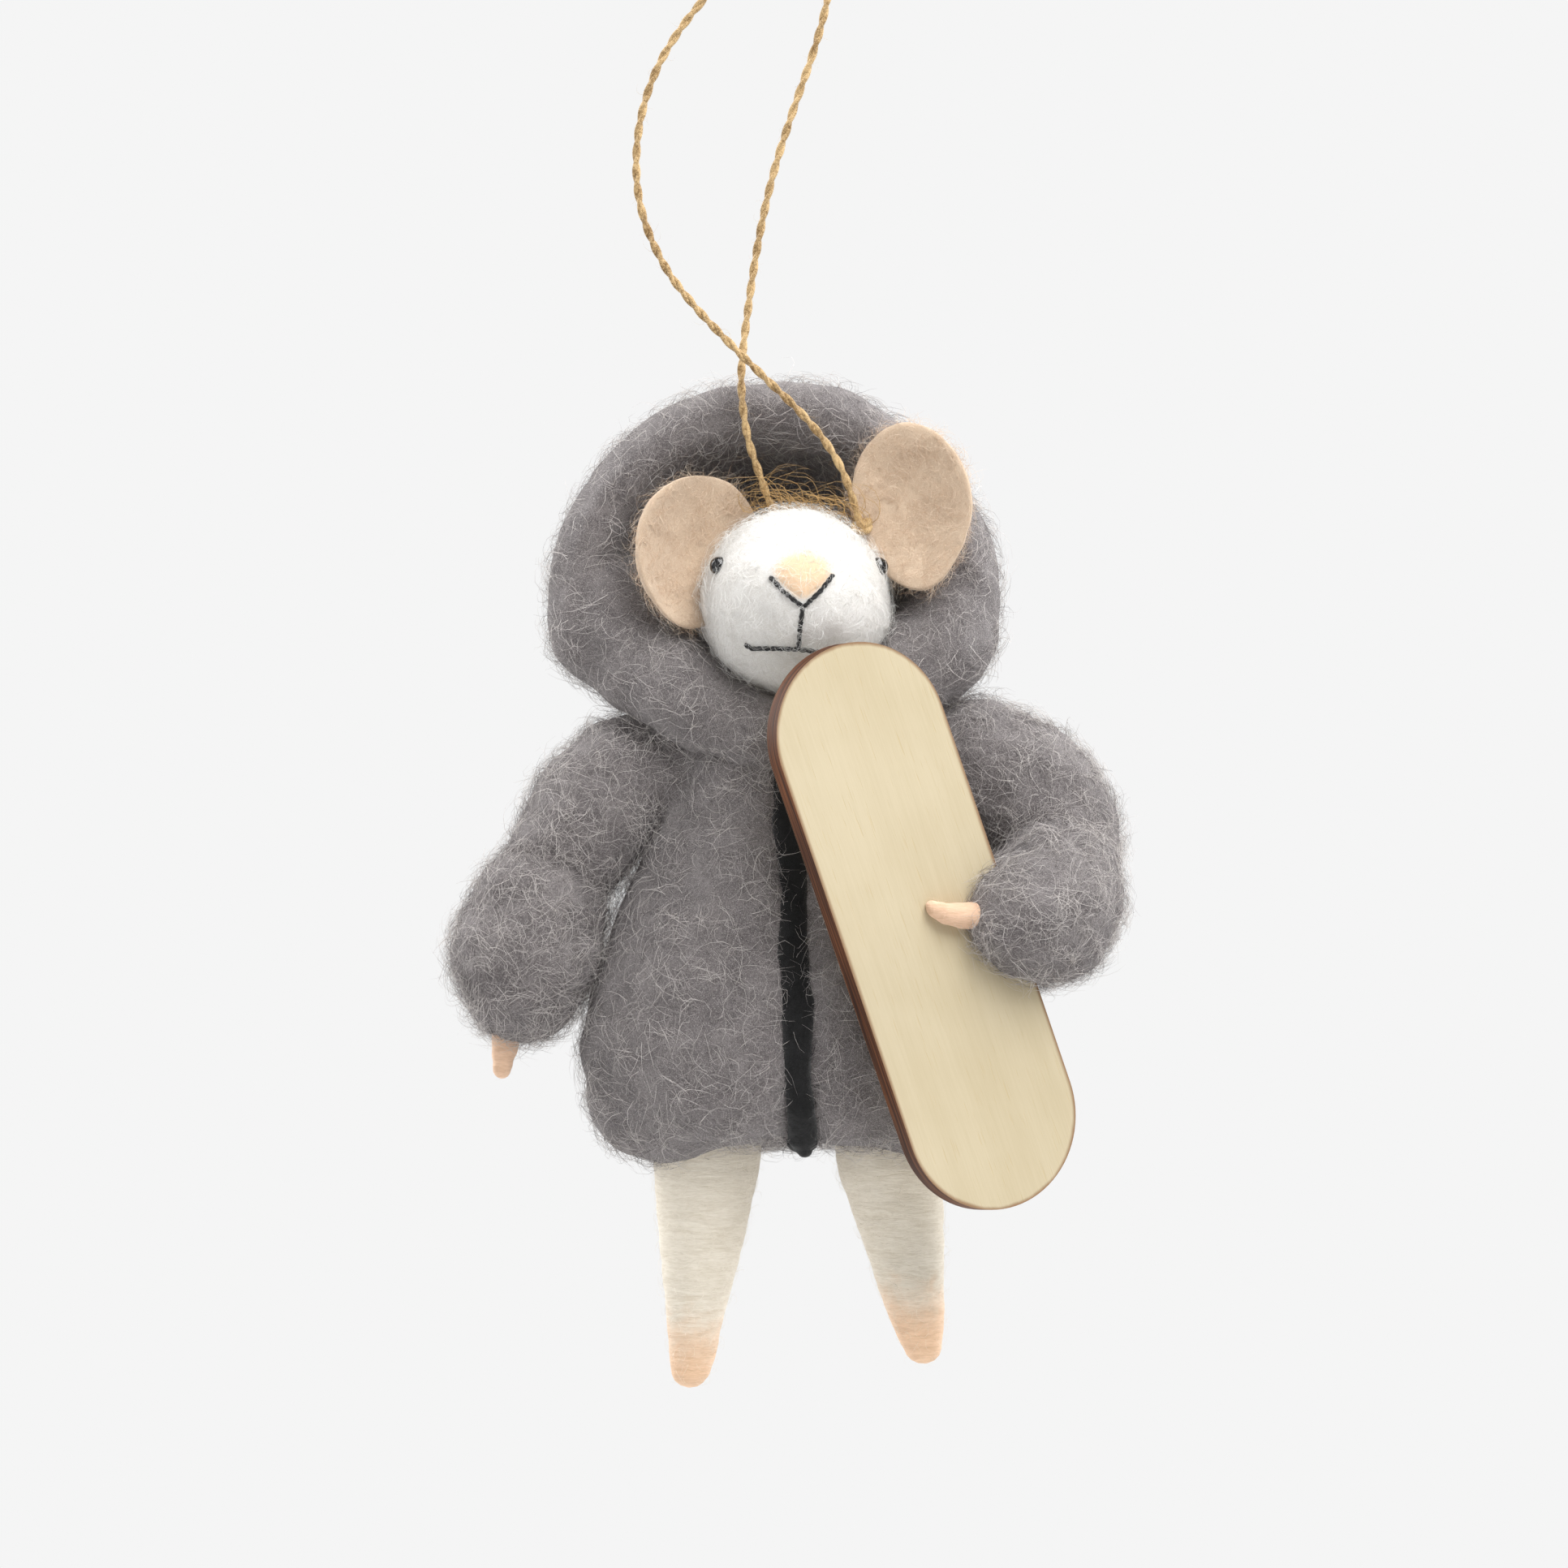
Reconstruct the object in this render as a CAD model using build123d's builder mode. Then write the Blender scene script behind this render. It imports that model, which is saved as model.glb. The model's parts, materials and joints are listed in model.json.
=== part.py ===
from build123d import *
from math import cos, radians, sin
import os

# A needle-felted wool mouse in a grey hooded coat, holding a small wooden board, on a twine loop.
# Millimetres. X runs to the mouse's left, Y to its back, Z up. Heights are counted from the tip of
# the right foot. The origin is the top of the twine loop, which is what the mouse hangs from.

# ---- hanging point
loop_top_height = 203.2
loop_top_y = -8.0

# ---- clearances
joint_gap = 0.4          # wool to wool where a joint moves
wire_gap = 0.05          # round a wire that turns in its bore
wire_radius = 0.8

# ---- head, an egg whose blunt muzzle points forwards
head_height = 104.8
head_y = -6.0
head_radius = 12.75
muzzle_length = 18.5
nape_length = 13.0
muzzle_rise = 6.0        # degrees
eye_radius = 1.25
eye_spread = 10.9        # from the middle of the face to each bead
eye_rise = 5.1
eye_middle_x = 0.5
patch_thickness = 0.5
thread_width = 0.6
thread_thickness = 0.6
ear_thickness = 2.4
right_ear_half_width = 9.3
right_ear_half_height = 10.2
left_ear_half_width = 8.3
left_ear_half_height = 11.0

# ---- hood, a thick half ball of wool with its flat side forwards
hood_radius = 30.6
hood_x = -3.0
hood_height = 104.4
brim_y = -5.0
brim_rounding = 4.0
hood_base_height = 91.0
pocket_radius = 19.0
pocket_back_y = 5.0

# ---- coat and the wool body inside it
coat_half_width = 29.5
coat_half_depth = 18.5
hem_height = 32.5
coat_top_height = 90.6
coat_wall = 5.0
hip_height = 38.0
core_top_height = 86.0
hem_hollow_half_width = 22.5
hem_hollow_half_depth = 13.0
zip_width = 3.5
zip_thickness = 0.9
zip_top_height = 89.0
zip_x = -0.2

# ---- arms
shoulder_x = 19.5
shoulder_height = 82.5
shoulder_radius = 7.5
armhole_flare = 1.25     # growth of the armhole's radius for each millimetre outwards
armhole_throat = 2.5     # from the shoulder ball's inner side to where the armhole starts to widen
limb_inset = 0.4         # a limb's tube inside the ball at its end
hip_inset = 0.9
left_arm_inset = 0.8
elbow_radius = 6.2
left_elbow_radius = 8.0
left_upper_arm_radius = 8.4
left_forearm_radius = 9.6
forearm_radius = 9.3
cuff_radius = 6.2
hand_radius = 2.2
hand_tip_radius = 1.0
left_tip_radius = 1.5
hand_press = 0.3         # share of the hand's radius that is flattened against the board
wrist_across = 10.6      # from the board's middle line to the wrist, over its face
wrist_drop = 1.6         # the wrist below the board's middle
fingertip_across = 1.2
fingertip_rise = 1.6
sleeve_end_radius = 5.2

# ---- board
board_length = 78.0
board_width = 25.0
board_thickness = 3.0
board_lean = 18.9        # degrees, its top towards the mouse's right
board_pitch = 6.5        # degrees, its top forwards
board_turn = 25.0        # degrees about its own length, its face towards the mouse's left

# ---- legs
hip_x = 11.3
hip_radius = 7.4
leg_wool_radius = 7.2
foot_radius = 2.7

# ---- twine
twine_radius = 0.58
knot_radius = 1.5
tuft_half_width = 6.0
tuft_half_depth = 3.0
tuft_rise = 5.0


def at(x, y, height):
    """A point of the mouse in the part's frame."""
    return Vector(x, y - loop_top_y, height - loop_top_height)


def limb(stations):
    """A smooth round tube through circles, each given as its centre and radius."""
    with BuildPart() as tube:
        for index, (centre, radius) in enumerate(stations):
            before = stations[max(index - 1, 0)][0]
            after = stations[min(index + 1, len(stations) - 1)][0]
            along = (after - before).normalized()
            across = Vector(0, 1, 0) - along * along.dot(Vector(0, 1, 0))
            with BuildSketch(Plane(origin=centre, x_dir=across, z_dir=along)):
                Circle(radius)
        loft()
    return tube.part


def ball(centre, radius):
    """A whole ball about a point."""
    with BuildPart(Plane(origin=centre)) as whole:
        Sphere(radius)
    return whole.part


def rod(start, end, radius=wire_radius):
    """A straight round rod from one point to another."""
    with BuildPart() as straight:
        with BuildSketch(Plane(origin=start, z_dir=end - start)):
            Circle(radius)
        extrude(amount=(end - start).length)
    return straight.part


def bowl(centre, radius, front, back, direction=Vector(0, -1, 0)):
    """An egg turned about a line: a half ellipse forwards and another backwards."""
    with BuildPart() as egg:
        with BuildSketch(Plane(origin=centre, x_dir=direction, z_dir=(1, 0, 0))):
            with BuildLine():
                nose = EllipticalCenterArc((0, 0), front, radius, start_angle=0, arc_size=90)
                nape = EllipticalCenterArc((0, 0), back, radius, start_angle=90, arc_size=90)
                Line(nape @ 1, nose @ 0)
            make_face()
        revolve(axis=Axis(centre, direction))
    return egg.part


def coat_shape(grow, low, high, shares):
    """The coat's outside through level ellipses, each a share of its height, width and depth."""
    with BuildPart() as outside:
        for rise, width, depth in shares:
            level = low + (high - low) * rise
            with BuildSketch(Plane(origin=at(0, 0, level))):
                Ellipse(coat_half_width * width + grow, coat_half_depth * depth + grow)
        loft()
    return outside.part


# ---------------------------------------------------------------- places worked out from the sizes
head_centre = at(0, head_y, head_height)
muzzle = Vector(0, -cos(radians(muzzle_rise)), sin(radians(muzzle_rise)))
neck_foot = at(0, 0, shoulder_height + 2 * wire_radius + 0.2)
neck_head = at(0, 0, head_height - 4)
right_shoulder = at(-shoulder_x, 0, shoulder_height)
left_shoulder = at(shoulder_x, 0, shoulder_height)
right_elbow = at(-31.3, -1.0, 69.8)
left_elbow = at(35.6, -2.0, 74.1)
forearm_x = -(coat_half_width * 0.905 + joint_gap + forearm_radius)
cuff_end = at(forearm_x - 1.5, -2.5, 47.0)
right_hip = at(-hip_x, 0, hip_height)
left_hip = at(hip_x, 0, hip_height)

coat_shares = [
    (0.0, 0.66, 0.70), (0.09, 0.91, 0.90), (0.23, 1.0, 1.0), (0.37, 0.925, 1.0), (0.49, 0.85, 0.95),
    (0.65, 0.70, 0.88), (0.77, 0.61, 0.82), (0.89, 0.59, 0.78), (1.0, 0.40, 0.58),
]
coat_outside = coat_shape(0, hem_height, coat_top_height, coat_shares)
head_egg = bowl(head_centre, head_radius, muzzle_length, nape_length, muzzle)

with BuildPart() as inner_shape:
    core_levels = [(hip_height, 0.91, 0.90), (0.5 * (hip_height + shoulder_height), 0.86, 0.95),
                   (shoulder_height, 0.59, 0.80), (core_top_height, 0.52, 0.70)]
    for level, width, depth in core_levels:
        with BuildSketch(Plane(origin=at(0, 0, level))):
            Ellipse(coat_half_width * width - coat_wall, coat_half_depth * depth - coat_wall)
    loft()

# ---------------------------------------------------------------- wires inside the wool
wires = {
    "neck_wire": (neck_foot, neck_head),
    "spine_wire": (at(0, 0, hip_height), at(0, 0, shoulder_height)),
    "shoulder_wire": (at(-shoulder_x - 4, 0, shoulder_height), at(shoulder_x - 8.5, 0, shoulder_height)),
    "pelvis_wire": (at(-hip_x - 5, 0, hip_height), at(hip_x + 5, 0, hip_height)),
}
turning_wires = {name: rod(start, end, wire_radius + wire_gap) for name, (start, end) in wires.items()}
fixed_wires = {name: rod(start, end) for name, (start, end) in wires.items()}

with BuildPart() as neck_wire:
    add(fixed_wires["neck_wire"])
neck_wire.part.label = "neck_wire"

with BuildPart() as spine_wire:
    add(fixed_wires["spine_wire"])
    add(fixed_wires["shoulder_wire"], mode=Mode.SUBTRACT)
    add(fixed_wires["pelvis_wire"], mode=Mode.SUBTRACT)
spine_wire.part.label = "spine_wire"

with BuildPart() as shoulder_wire:
    add(fixed_wires["shoulder_wire"])
shoulder_wire.part.label = "shoulder_wire"

with BuildPart() as pelvis_wire:
    add(fixed_wires["pelvis_wire"])
pelvis_wire.part.label = "pelvis_wire"

# ---------------------------------------------------------------- head
eyes = {
    "right": head_centre + Vector(eye_middle_x - eye_spread, -2.6, eye_rise),
    "left": head_centre + Vector(eye_middle_x + eye_spread, -2.6, eye_rise),
}

with BuildPart() as head:
    add(head_egg)
    for place in eyes.values():
        add(ball(place, eye_radius), mode=Mode.SUBTRACT)
    add(turning_wires["neck_wire"], mode=Mode.SUBTRACT)
    add(ball(neck_head, wire_radius + 2 * wire_gap), mode=Mode.SUBTRACT)
head.part.label = "head"

with BuildPart() as right_eye_bead:
    add(ball(eyes["right"], eye_radius))
right_eye_bead.part.label = "right_eye_bead"

with BuildPart() as left_eye_bead:
    add(ball(eyes["left"], eye_radius))
left_eye_bead.part.label = "left_eye_bead"

# The face plane stands in front of the muzzle, X across and Y up, level with the head's middle.
face_plane = Plane(origin=at(0, head_y - muzzle_length - 4, head_height), x_dir=(1, 0, 0), z_dir=(0, -1, 0))
face_reach = muzzle_length + 2
thread_cover = bowl(head_centre, head_radius + thread_thickness, muzzle_length + thread_thickness,
                    nape_length, muzzle)
patch_cover = bowl(head_centre, head_radius + patch_thickness, muzzle_length + patch_thickness,
                   nape_length, muzzle)

with BuildPart() as face_thread:
    with BuildSketch(face_plane):
        with BuildLine():
            Polyline((-3.4, 3.6), (0.9, -0.6), (5.0, 3.9))
            Line((0.9, -0.6), (0.4, -6.0))
            Polyline((-6.4, -5.4), (-3.4, -5.9), (0.4, -6.0), (3.4, -6.4), (7.0, -5.4))
        trace(line_width=thread_width)
    extrude(amount=-face_reach)
    add(thread_cover, mode=Mode.INTERSECT)
    add(head_egg, mode=Mode.SUBTRACT)
face_thread.part.label = "face_thread"

with BuildPart() as nose_patch:
    with BuildSketch(face_plane):
        with BuildLine():
            Polyline((0.9, 0.1), (4.2, 3.4), (3.6, 5.6), (-1.8, 5.8), (-2.7, 3.6), close=True)
        make_face()
    extrude(amount=-face_reach)
    add(patch_cover, mode=Mode.INTERSECT)
    add(head_egg, mode=Mode.SUBTRACT)
    add(face_thread.part, mode=Mode.SUBTRACT)
nose_patch.part.label = "nose_patch"

with BuildPart() as right_ear:
    with BuildSketch(Plane(origin=at(-13.8, -7.4, 111.8), x_dir=(0.9, 0.44, 0), z_dir=(0.44, -0.9, 0))):
        Ellipse(right_ear_half_width, right_ear_half_height)
    extrude(amount=ear_thickness / 2, both=True)
    add(head_egg, mode=Mode.SUBTRACT)
right_ear.part.label = "right_ear"

with BuildPart() as left_ear:
    with BuildSketch(Plane(origin=at(15.9, -8.0, 117.7), x_dir=(0.97, -0.25, 0), z_dir=(-0.25, -0.97, 0))):
        Ellipse(left_ear_half_width, left_ear_half_height)
    extrude(amount=ear_thickness / 2, both=True)
    add(head_egg, mode=Mode.SUBTRACT)
    add(left_eye_bead.part, mode=Mode.SUBTRACT)
left_ear.part.label = "left_ear"

# ---------------------------------------------------------------- hood
# The pocket is the cap of a larger ball, as wide as its radius at the brim and deep to the head's back.
pocket_depth = pocket_back_y - brim_y
pocket_ball = (pocket_radius ** 2 + pocket_depth ** 2) / (2 * pocket_depth)
with BuildPart() as hood:
    add(ball(at(hood_x, brim_y, hood_height), hood_radius))
    split(bisect_by=Plane(origin=at(0, brim_y, 0), z_dir=(0, 1, 0)), keep=Keep.TOP)
    fillet(hood.faces().sort_by(Axis.Y)[0].edges(), radius=brim_rounding)
    add(ball(at(hood_x, pocket_back_y - pocket_ball, hood_height), pocket_ball), mode=Mode.SUBTRACT)
    split(bisect_by=Plane(origin=at(0, 0, hood_base_height)), keep=Keep.TOP)
    add(head_egg, mode=Mode.SUBTRACT)
    add(rod(neck_foot, neck_head, wire_radius + joint_gap), mode=Mode.SUBTRACT)
hood.part.label = "hood"

# ---------------------------------------------------------------- coat and core
armholes = []
for side in (-1, 1):
    inner_x = shoulder_x - shoulder_radius + armhole_throat
    outer_x = coat_half_width + 1
    armholes.append(ball(at(side * shoulder_x, 0, shoulder_height), shoulder_radius + joint_gap))
    with BuildPart() as flare:
        with BuildSketch(Plane(origin=at(side * inner_x, 0, shoulder_height), z_dir=(side, 0, 0))):
            Circle(shoulder_radius + joint_gap)
        with BuildSketch(Plane(origin=at(side * outer_x, 0, shoulder_height), z_dir=(side, 0, 0))):
            Circle(shoulder_radius + joint_gap + armhole_flare * (outer_x - inner_x))
        loft()
    armholes.append(flare.part)

with BuildPart() as body_core:
    add(inner_shape.part)
    for side in (-1, 1):
        add(ball(at(side * hip_x, 0, hip_height), hip_radius + joint_gap), mode=Mode.SUBTRACT)
    for hole in armholes:
        add(hole, mode=Mode.SUBTRACT)
    for name in wires:
        add(fixed_wires[name], mode=Mode.SUBTRACT)
body_core.part.label = "body_core"

with BuildPart() as coat_body:
    add(coat_outside)
    add(inner_shape.part, mode=Mode.SUBTRACT)
    with BuildSketch(Plane(origin=at(0, 0, hem_height - 1))):
        Ellipse(hem_hollow_half_width, hem_hollow_half_depth)
    extrude(amount=hip_height - hem_height + 1, mode=Mode.SUBTRACT)
    for hole in armholes:
        add(hole, mode=Mode.SUBTRACT)
    add(fixed_wires["neck_wire"], mode=Mode.SUBTRACT)
coat_body.part.label = "coat_body"

with BuildPart() as zip_strip:
    with BuildSketch(Plane(origin=at(zip_x, -coat_half_depth, 0))):
        Rectangle(zip_width, coat_half_depth)
    extrude(amount=zip_top_height)
    add(coat_shape(zip_thickness, hem_height, coat_top_height, coat_shares), mode=Mode.INTERSECT)
    add(coat_outside, mode=Mode.SUBTRACT)
zip_strip.part.label = "zip_strip"

# ---------------------------------------------------------------- right arm, hanging
forearm_start = right_elbow + (at(forearm_x, -2.0, 58.5) - right_elbow).normalized() * 4.8
right_wrist = at(forearm_x - 1.9, -2.5, 50.5)
right_hand_tip = at(forearm_x - 2.4, -2.8, 42.1)
right_upper_wire_ends = (right_shoulder + Vector(-6.5, 0, -4.0), right_elbow + Vector(1.2, 0.2, 2.4))
right_fore_wire_ends = (forearm_start + Vector(-0.8, 0, -2.6), right_wrist + Vector(0, 0, 0.8))

with BuildPart() as right_upper_wire:
    add(rod(*right_upper_wire_ends))
right_upper_wire.part.label = "right_upper_wire"

with BuildPart() as right_upper_sleeve:
    add(limb([(right_shoulder, shoulder_radius - 0.6), (at(-27.4, -0.5, 77.6), 8.4),
              (right_elbow, elbow_radius - limb_inset)]))
    add(ball(right_shoulder, shoulder_radius))
    add(ball(right_elbow, elbow_radius))
    add(turning_wires["shoulder_wire"], mode=Mode.SUBTRACT)
    add(right_upper_wire.part, mode=Mode.SUBTRACT)
right_upper_sleeve.part.label = "right_upper_sleeve"

with BuildPart() as right_fore_wire:
    add(rod(*right_fore_wire_ends))
right_fore_wire.part.label = "right_fore_wire"

with BuildPart() as right_hand:
    add(limb([(right_wrist, hand_radius), (right_wrist * 0.5 + right_hand_tip * 0.5, hand_radius * 0.8),
              (right_hand_tip, hand_tip_radius)]))
    add(ball(right_hand_tip, hand_tip_radius))
right_hand.part.label = "right_hand"

with BuildPart() as right_fore_sleeve:
    add(limb([(forearm_start, 5.4), (at(forearm_x, -2.0, 58.5), forearm_radius), (cuff_end, cuff_radius)]))
    add(ball(right_elbow, elbow_radius + joint_gap), mode=Mode.SUBTRACT)
    add(right_hand.part, mode=Mode.SUBTRACT)
    add(right_fore_wire.part, mode=Mode.SUBTRACT)
right_fore_sleeve.part.label = "right_fore_sleeve"

# ---------------------------------------------------------------- board
board_centre = at(16.7, -20.4, 62.2)
board_along = Vector(-sin(radians(board_lean)), -sin(radians(board_pitch)), cos(radians(board_lean))).normalized()
board_facing = Vector(0, -1, 0) - board_along * board_along.dot(Vector(0, -1, 0))
board_facing = board_facing.normalized().rotate(Axis((0, 0, 0), board_along), board_turn)

with BuildPart() as board:
    with BuildSketch(Plane(origin=board_centre, x_dir=board_along, z_dir=board_facing)):
        SlotOverall(board_length, board_width)
    extrude(amount=board_thickness / 2, both=True)
board.part.label = "board"

# ---------------------------------------------------------------- left arm, round the board
board_across = board_along.cross(board_facing)
if board_across.X < 0:
    board_across = board_across * -1
wrist_lift = board_thickness / 2 + (1 - hand_press) * hand_radius
tip_lift = board_thickness / 2 + (1 - hand_press) * left_tip_radius
left_wrist = board_centre + board_across * wrist_across + board_facing * wrist_lift - board_along * wrist_drop
left_hand_tip = (board_centre + board_across * fingertip_across + board_facing * tip_lift
                 + board_along * fingertip_rise)
left_upper_arm = at(28.0, 0.3, 80.6)
left_bend = at(33.6, -11.5, 64.3)
left_arm_wire_ends = (left_shoulder + Vector(6.5, 0, -1.2), left_elbow + Vector(-1.5, 0.4, 1.4))

with BuildPart() as left_arm_wire:
    add(rod(*left_arm_wire_ends))
left_arm_wire.part.label = "left_arm_wire"

with BuildPart() as left_upper_sleeve:
    add(ball(left_shoulder, shoulder_radius))
    add(ball(left_upper_arm, left_upper_arm_radius))
    add(ball(left_elbow, left_elbow_radius))
    add(limb([(left_shoulder, shoulder_radius - left_arm_inset),
              (left_upper_arm, left_upper_arm_radius - left_arm_inset)]))
    add(limb([(left_upper_arm, left_upper_arm_radius - left_arm_inset),
              (left_elbow, left_elbow_radius - left_arm_inset)]))
    add(left_arm_wire.part, mode=Mode.SUBTRACT)
left_upper_sleeve.part.label = "left_upper_sleeve"

with BuildPart() as left_hand:
    add(limb([(left_wrist + board_across * 3, hand_radius), (left_hand_tip, left_tip_radius)]))
    add(ball(left_hand_tip, left_tip_radius))
    add(board.part, mode=Mode.SUBTRACT)
left_hand.part.label = "left_hand"

with BuildPart() as left_fore_sleeve:
    add(ball(left_bend, left_forearm_radius))
    add(limb([(left_elbow, left_elbow_radius - 2 * left_arm_inset),
              (left_bend, left_forearm_radius - 2 * left_arm_inset)]))
    add(limb([(left_bend, left_forearm_radius - 2 * left_arm_inset),
              (left_wrist + board_across * 1.0, sleeve_end_radius)]))
    add(ball(left_elbow, left_elbow_radius), mode=Mode.SUBTRACT)
    add(board.part, mode=Mode.SUBTRACT)
    add(left_hand.part, mode=Mode.SUBTRACT)
left_fore_sleeve.part.label = "left_fore_sleeve"

# ---------------------------------------------------------------- legs
# Each leg: the hip, the ankle where the wool changes to the foot's, and the middle of the round toe.
leg_plans = {
    "right": (right_hip, at(-13.6, 0, 7.7), 3.5, at(-14.0, 0, foot_radius), -1),
    "left": (left_hip, at(16.0, 0, 12.0), 3.7, at(17.1, 0, 3.2 + foot_radius), 1),
}
leg_parts = {}
for side, (hip, ankle, ankle_radius, toe, sign) in leg_plans.items():
    down = (ankle - hip).normalized()
    wire_shape = rod(hip + down * (2 * wire_radius + wire_gap), toe)
    with BuildPart() as leg_wire:
        add(wire_shape)
    with BuildPart() as leg:
        add(limb([(hip, hip_radius - hip_inset), (hip + down * 7.5, leg_wool_radius),
                  (hip + down * 18.0, 0.5 * (leg_wool_radius + ankle_radius) + 0.3), (ankle, ankle_radius)]))
        add(ball(hip, hip_radius))
        add(turning_wires["pelvis_wire"], mode=Mode.SUBTRACT)
        add(wire_shape, mode=Mode.SUBTRACT)
    with BuildPart() as foot:
        add(limb([(ankle, ankle_radius), (toe, foot_radius)]))
        add(ball(toe, foot_radius))
        add(wire_shape, mode=Mode.SUBTRACT)
    leg.part.label = side + "_leg"
    foot.part.label = side + "_foot"
    leg_wire.part.label = side + "_leg_wire"
    leg_parts[side] = (leg.part, foot.part, leg_wire.part)

# ---------------------------------------------------------------- twine
twine_points = [
    at(-2.5, -8.0, 115.9), at(-4.6, -8.2, 121.7), at(-6.6, -8.4, 127.5), at(-7.4, -8.3, 135.3),
    at(-6.4, -8.0, 143.5), at(-5.1, -8.0, 152.6), at(-3.1, -8.0, 162.0), at(-0.1, -8.0, 171.3),
    at(2.9, -8.0, 179.6), at(4.7, -8.0, 187.0), at(5.3, -8.0, 193.4), at(4.7, -8.0, 198.9),
    at(2.4, -8.0, 203.2), at(-2.4, -8.0, 203.2), at(-4.6, -8.0, 198.7), at(-6.6, -8.0, 193.6),
    at(-9.3, -8.0, 188.6), at(-14.7, -8.0, 182.6), at(-19.0, -8.0, 175.6), at(-21.3, -8.0, 167.0),
    at(-21.0, -8.2, 157.9), at(-17.6, -9.4, 149.8), at(-13.6, -11.0, 144.6), at(-9.6, -12.3, 140.3),
    at(-4.0, -12.4, 134.8), at(0.6, -12.0, 130.5), at(4.6, -11.6, 125.8), at(7.3, -11.0, 120.6),
    at(8.8, -9.7, 114.6),
]
bend_radii = []
for before, corner, after in zip(twine_points, twine_points[1:], twine_points[2:]):
    turn = (corner - before).get_angle(after - corner)
    shorter_run = min((corner - before).length, (after - corner).length)
    bend_radii.append(0.45 * shorter_run * cos(radians(turn / 2)) / sin(radians(turn / 2)))

with BuildPart() as twine_loop:
    with BuildLine() as twine_route:
        FilletPolyline(*twine_points, radius=bend_radii)
    with BuildSketch(Plane(origin=twine_points[0], z_dir=twine_points[1] - twine_points[0])):
        Circle(twine_radius)
    sweep(transition=Transition.RIGHT)
twine_loop.part.label = "twine_loop"
twine_length = twine_route.wire().length
print("twine length", round(twine_length, 1), "tightest bend", round(min(bend_radii), 2))

with BuildPart() as twine_knot:
    add(ball(twine_points[-1] + Vector(0, 0, 0.5), knot_radius))
    add(head_egg, mode=Mode.SUBTRACT)
    add(left_ear.part, mode=Mode.SUBTRACT)
    add(twine_loop.part, mode=Mode.SUBTRACT)
twine_knot.part.label = "twine_knot"

tuft_middle = at(3.2, head_y - 2.5, head_height + head_radius - 2.0)
with BuildPart() as twine_tuft:
    with BuildSketch(Plane(origin=tuft_middle)):
        Ellipse(tuft_half_width, tuft_half_depth)
    with BuildSketch(Plane(origin=tuft_middle + Vector(0, 0, tuft_rise))):
        Ellipse(tuft_half_width * 0.6, tuft_half_depth * 0.4)
    loft()
    for neighbour in (head_egg, twine_knot.part, twine_loop.part, left_ear.part, right_ear.part):
        add(neighbour, mode=Mode.SUBTRACT)
twine_tuft.part.label = "twine_tuft"

# ---------------------------------------------------------------- files
os.makedirs("parts", exist_ok=True)
finished = [
    neck_wire, spine_wire, shoulder_wire, pelvis_wire, head, right_eye_bead, left_eye_bead, face_thread,
    nose_patch, right_ear, left_ear, hood, body_core, coat_body, zip_strip, right_upper_wire,
    right_upper_sleeve, right_fore_wire, right_hand, right_fore_sleeve, board, left_arm_wire,
    left_upper_sleeve, left_hand, left_fore_sleeve, twine_loop, twine_knot, twine_tuft,
]
solids = [builder.part for builder in finished]
for pieces in leg_parts.values():
    solids += pieces
for solid in solids:
    export_step(solid, "parts/" + solid.label + ".step")
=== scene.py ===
import json
from math import cos, pi, radians, sin, sqrt

import bmesh
import bpy
from mathutils import Matrix, Vector, noise
from mathutils.bvhtree import BVHTree

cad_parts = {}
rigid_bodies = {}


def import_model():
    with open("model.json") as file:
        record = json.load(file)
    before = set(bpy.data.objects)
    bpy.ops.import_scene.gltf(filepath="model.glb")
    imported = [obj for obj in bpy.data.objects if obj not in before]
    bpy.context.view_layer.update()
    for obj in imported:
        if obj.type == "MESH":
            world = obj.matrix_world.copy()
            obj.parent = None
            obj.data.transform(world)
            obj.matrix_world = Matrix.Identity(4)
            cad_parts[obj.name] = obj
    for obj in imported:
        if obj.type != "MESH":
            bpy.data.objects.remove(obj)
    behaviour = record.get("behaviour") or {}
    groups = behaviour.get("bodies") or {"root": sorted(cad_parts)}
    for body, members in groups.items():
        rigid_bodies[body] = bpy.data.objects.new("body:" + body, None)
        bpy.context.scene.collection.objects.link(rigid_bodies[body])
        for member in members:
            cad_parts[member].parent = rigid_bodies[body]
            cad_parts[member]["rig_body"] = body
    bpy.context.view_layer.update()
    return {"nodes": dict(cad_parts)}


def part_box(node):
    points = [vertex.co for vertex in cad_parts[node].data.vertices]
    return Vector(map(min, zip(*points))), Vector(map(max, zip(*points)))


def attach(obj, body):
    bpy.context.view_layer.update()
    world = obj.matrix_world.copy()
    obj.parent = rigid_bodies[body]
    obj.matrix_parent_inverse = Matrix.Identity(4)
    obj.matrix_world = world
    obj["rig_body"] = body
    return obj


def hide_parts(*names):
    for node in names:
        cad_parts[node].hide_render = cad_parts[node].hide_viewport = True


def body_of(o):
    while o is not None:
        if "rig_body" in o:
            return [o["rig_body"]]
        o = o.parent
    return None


# A needle-felted mouse in a hooded coat with a little board, hung on jute twine.
# Places are given in millimetres over the right toe's tip, X to the mouse's left, Y to its back,
# and at() puts them in the frame, whose origin is the top of the twine loop.

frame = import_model()

LOOP_TOP = 203.2
LOOP_Y = -8.0
MM = 0.001


def at(x, y, height):
    return Vector((x, y - LOOP_Y, height - LOOP_TOP)) * MM


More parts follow.
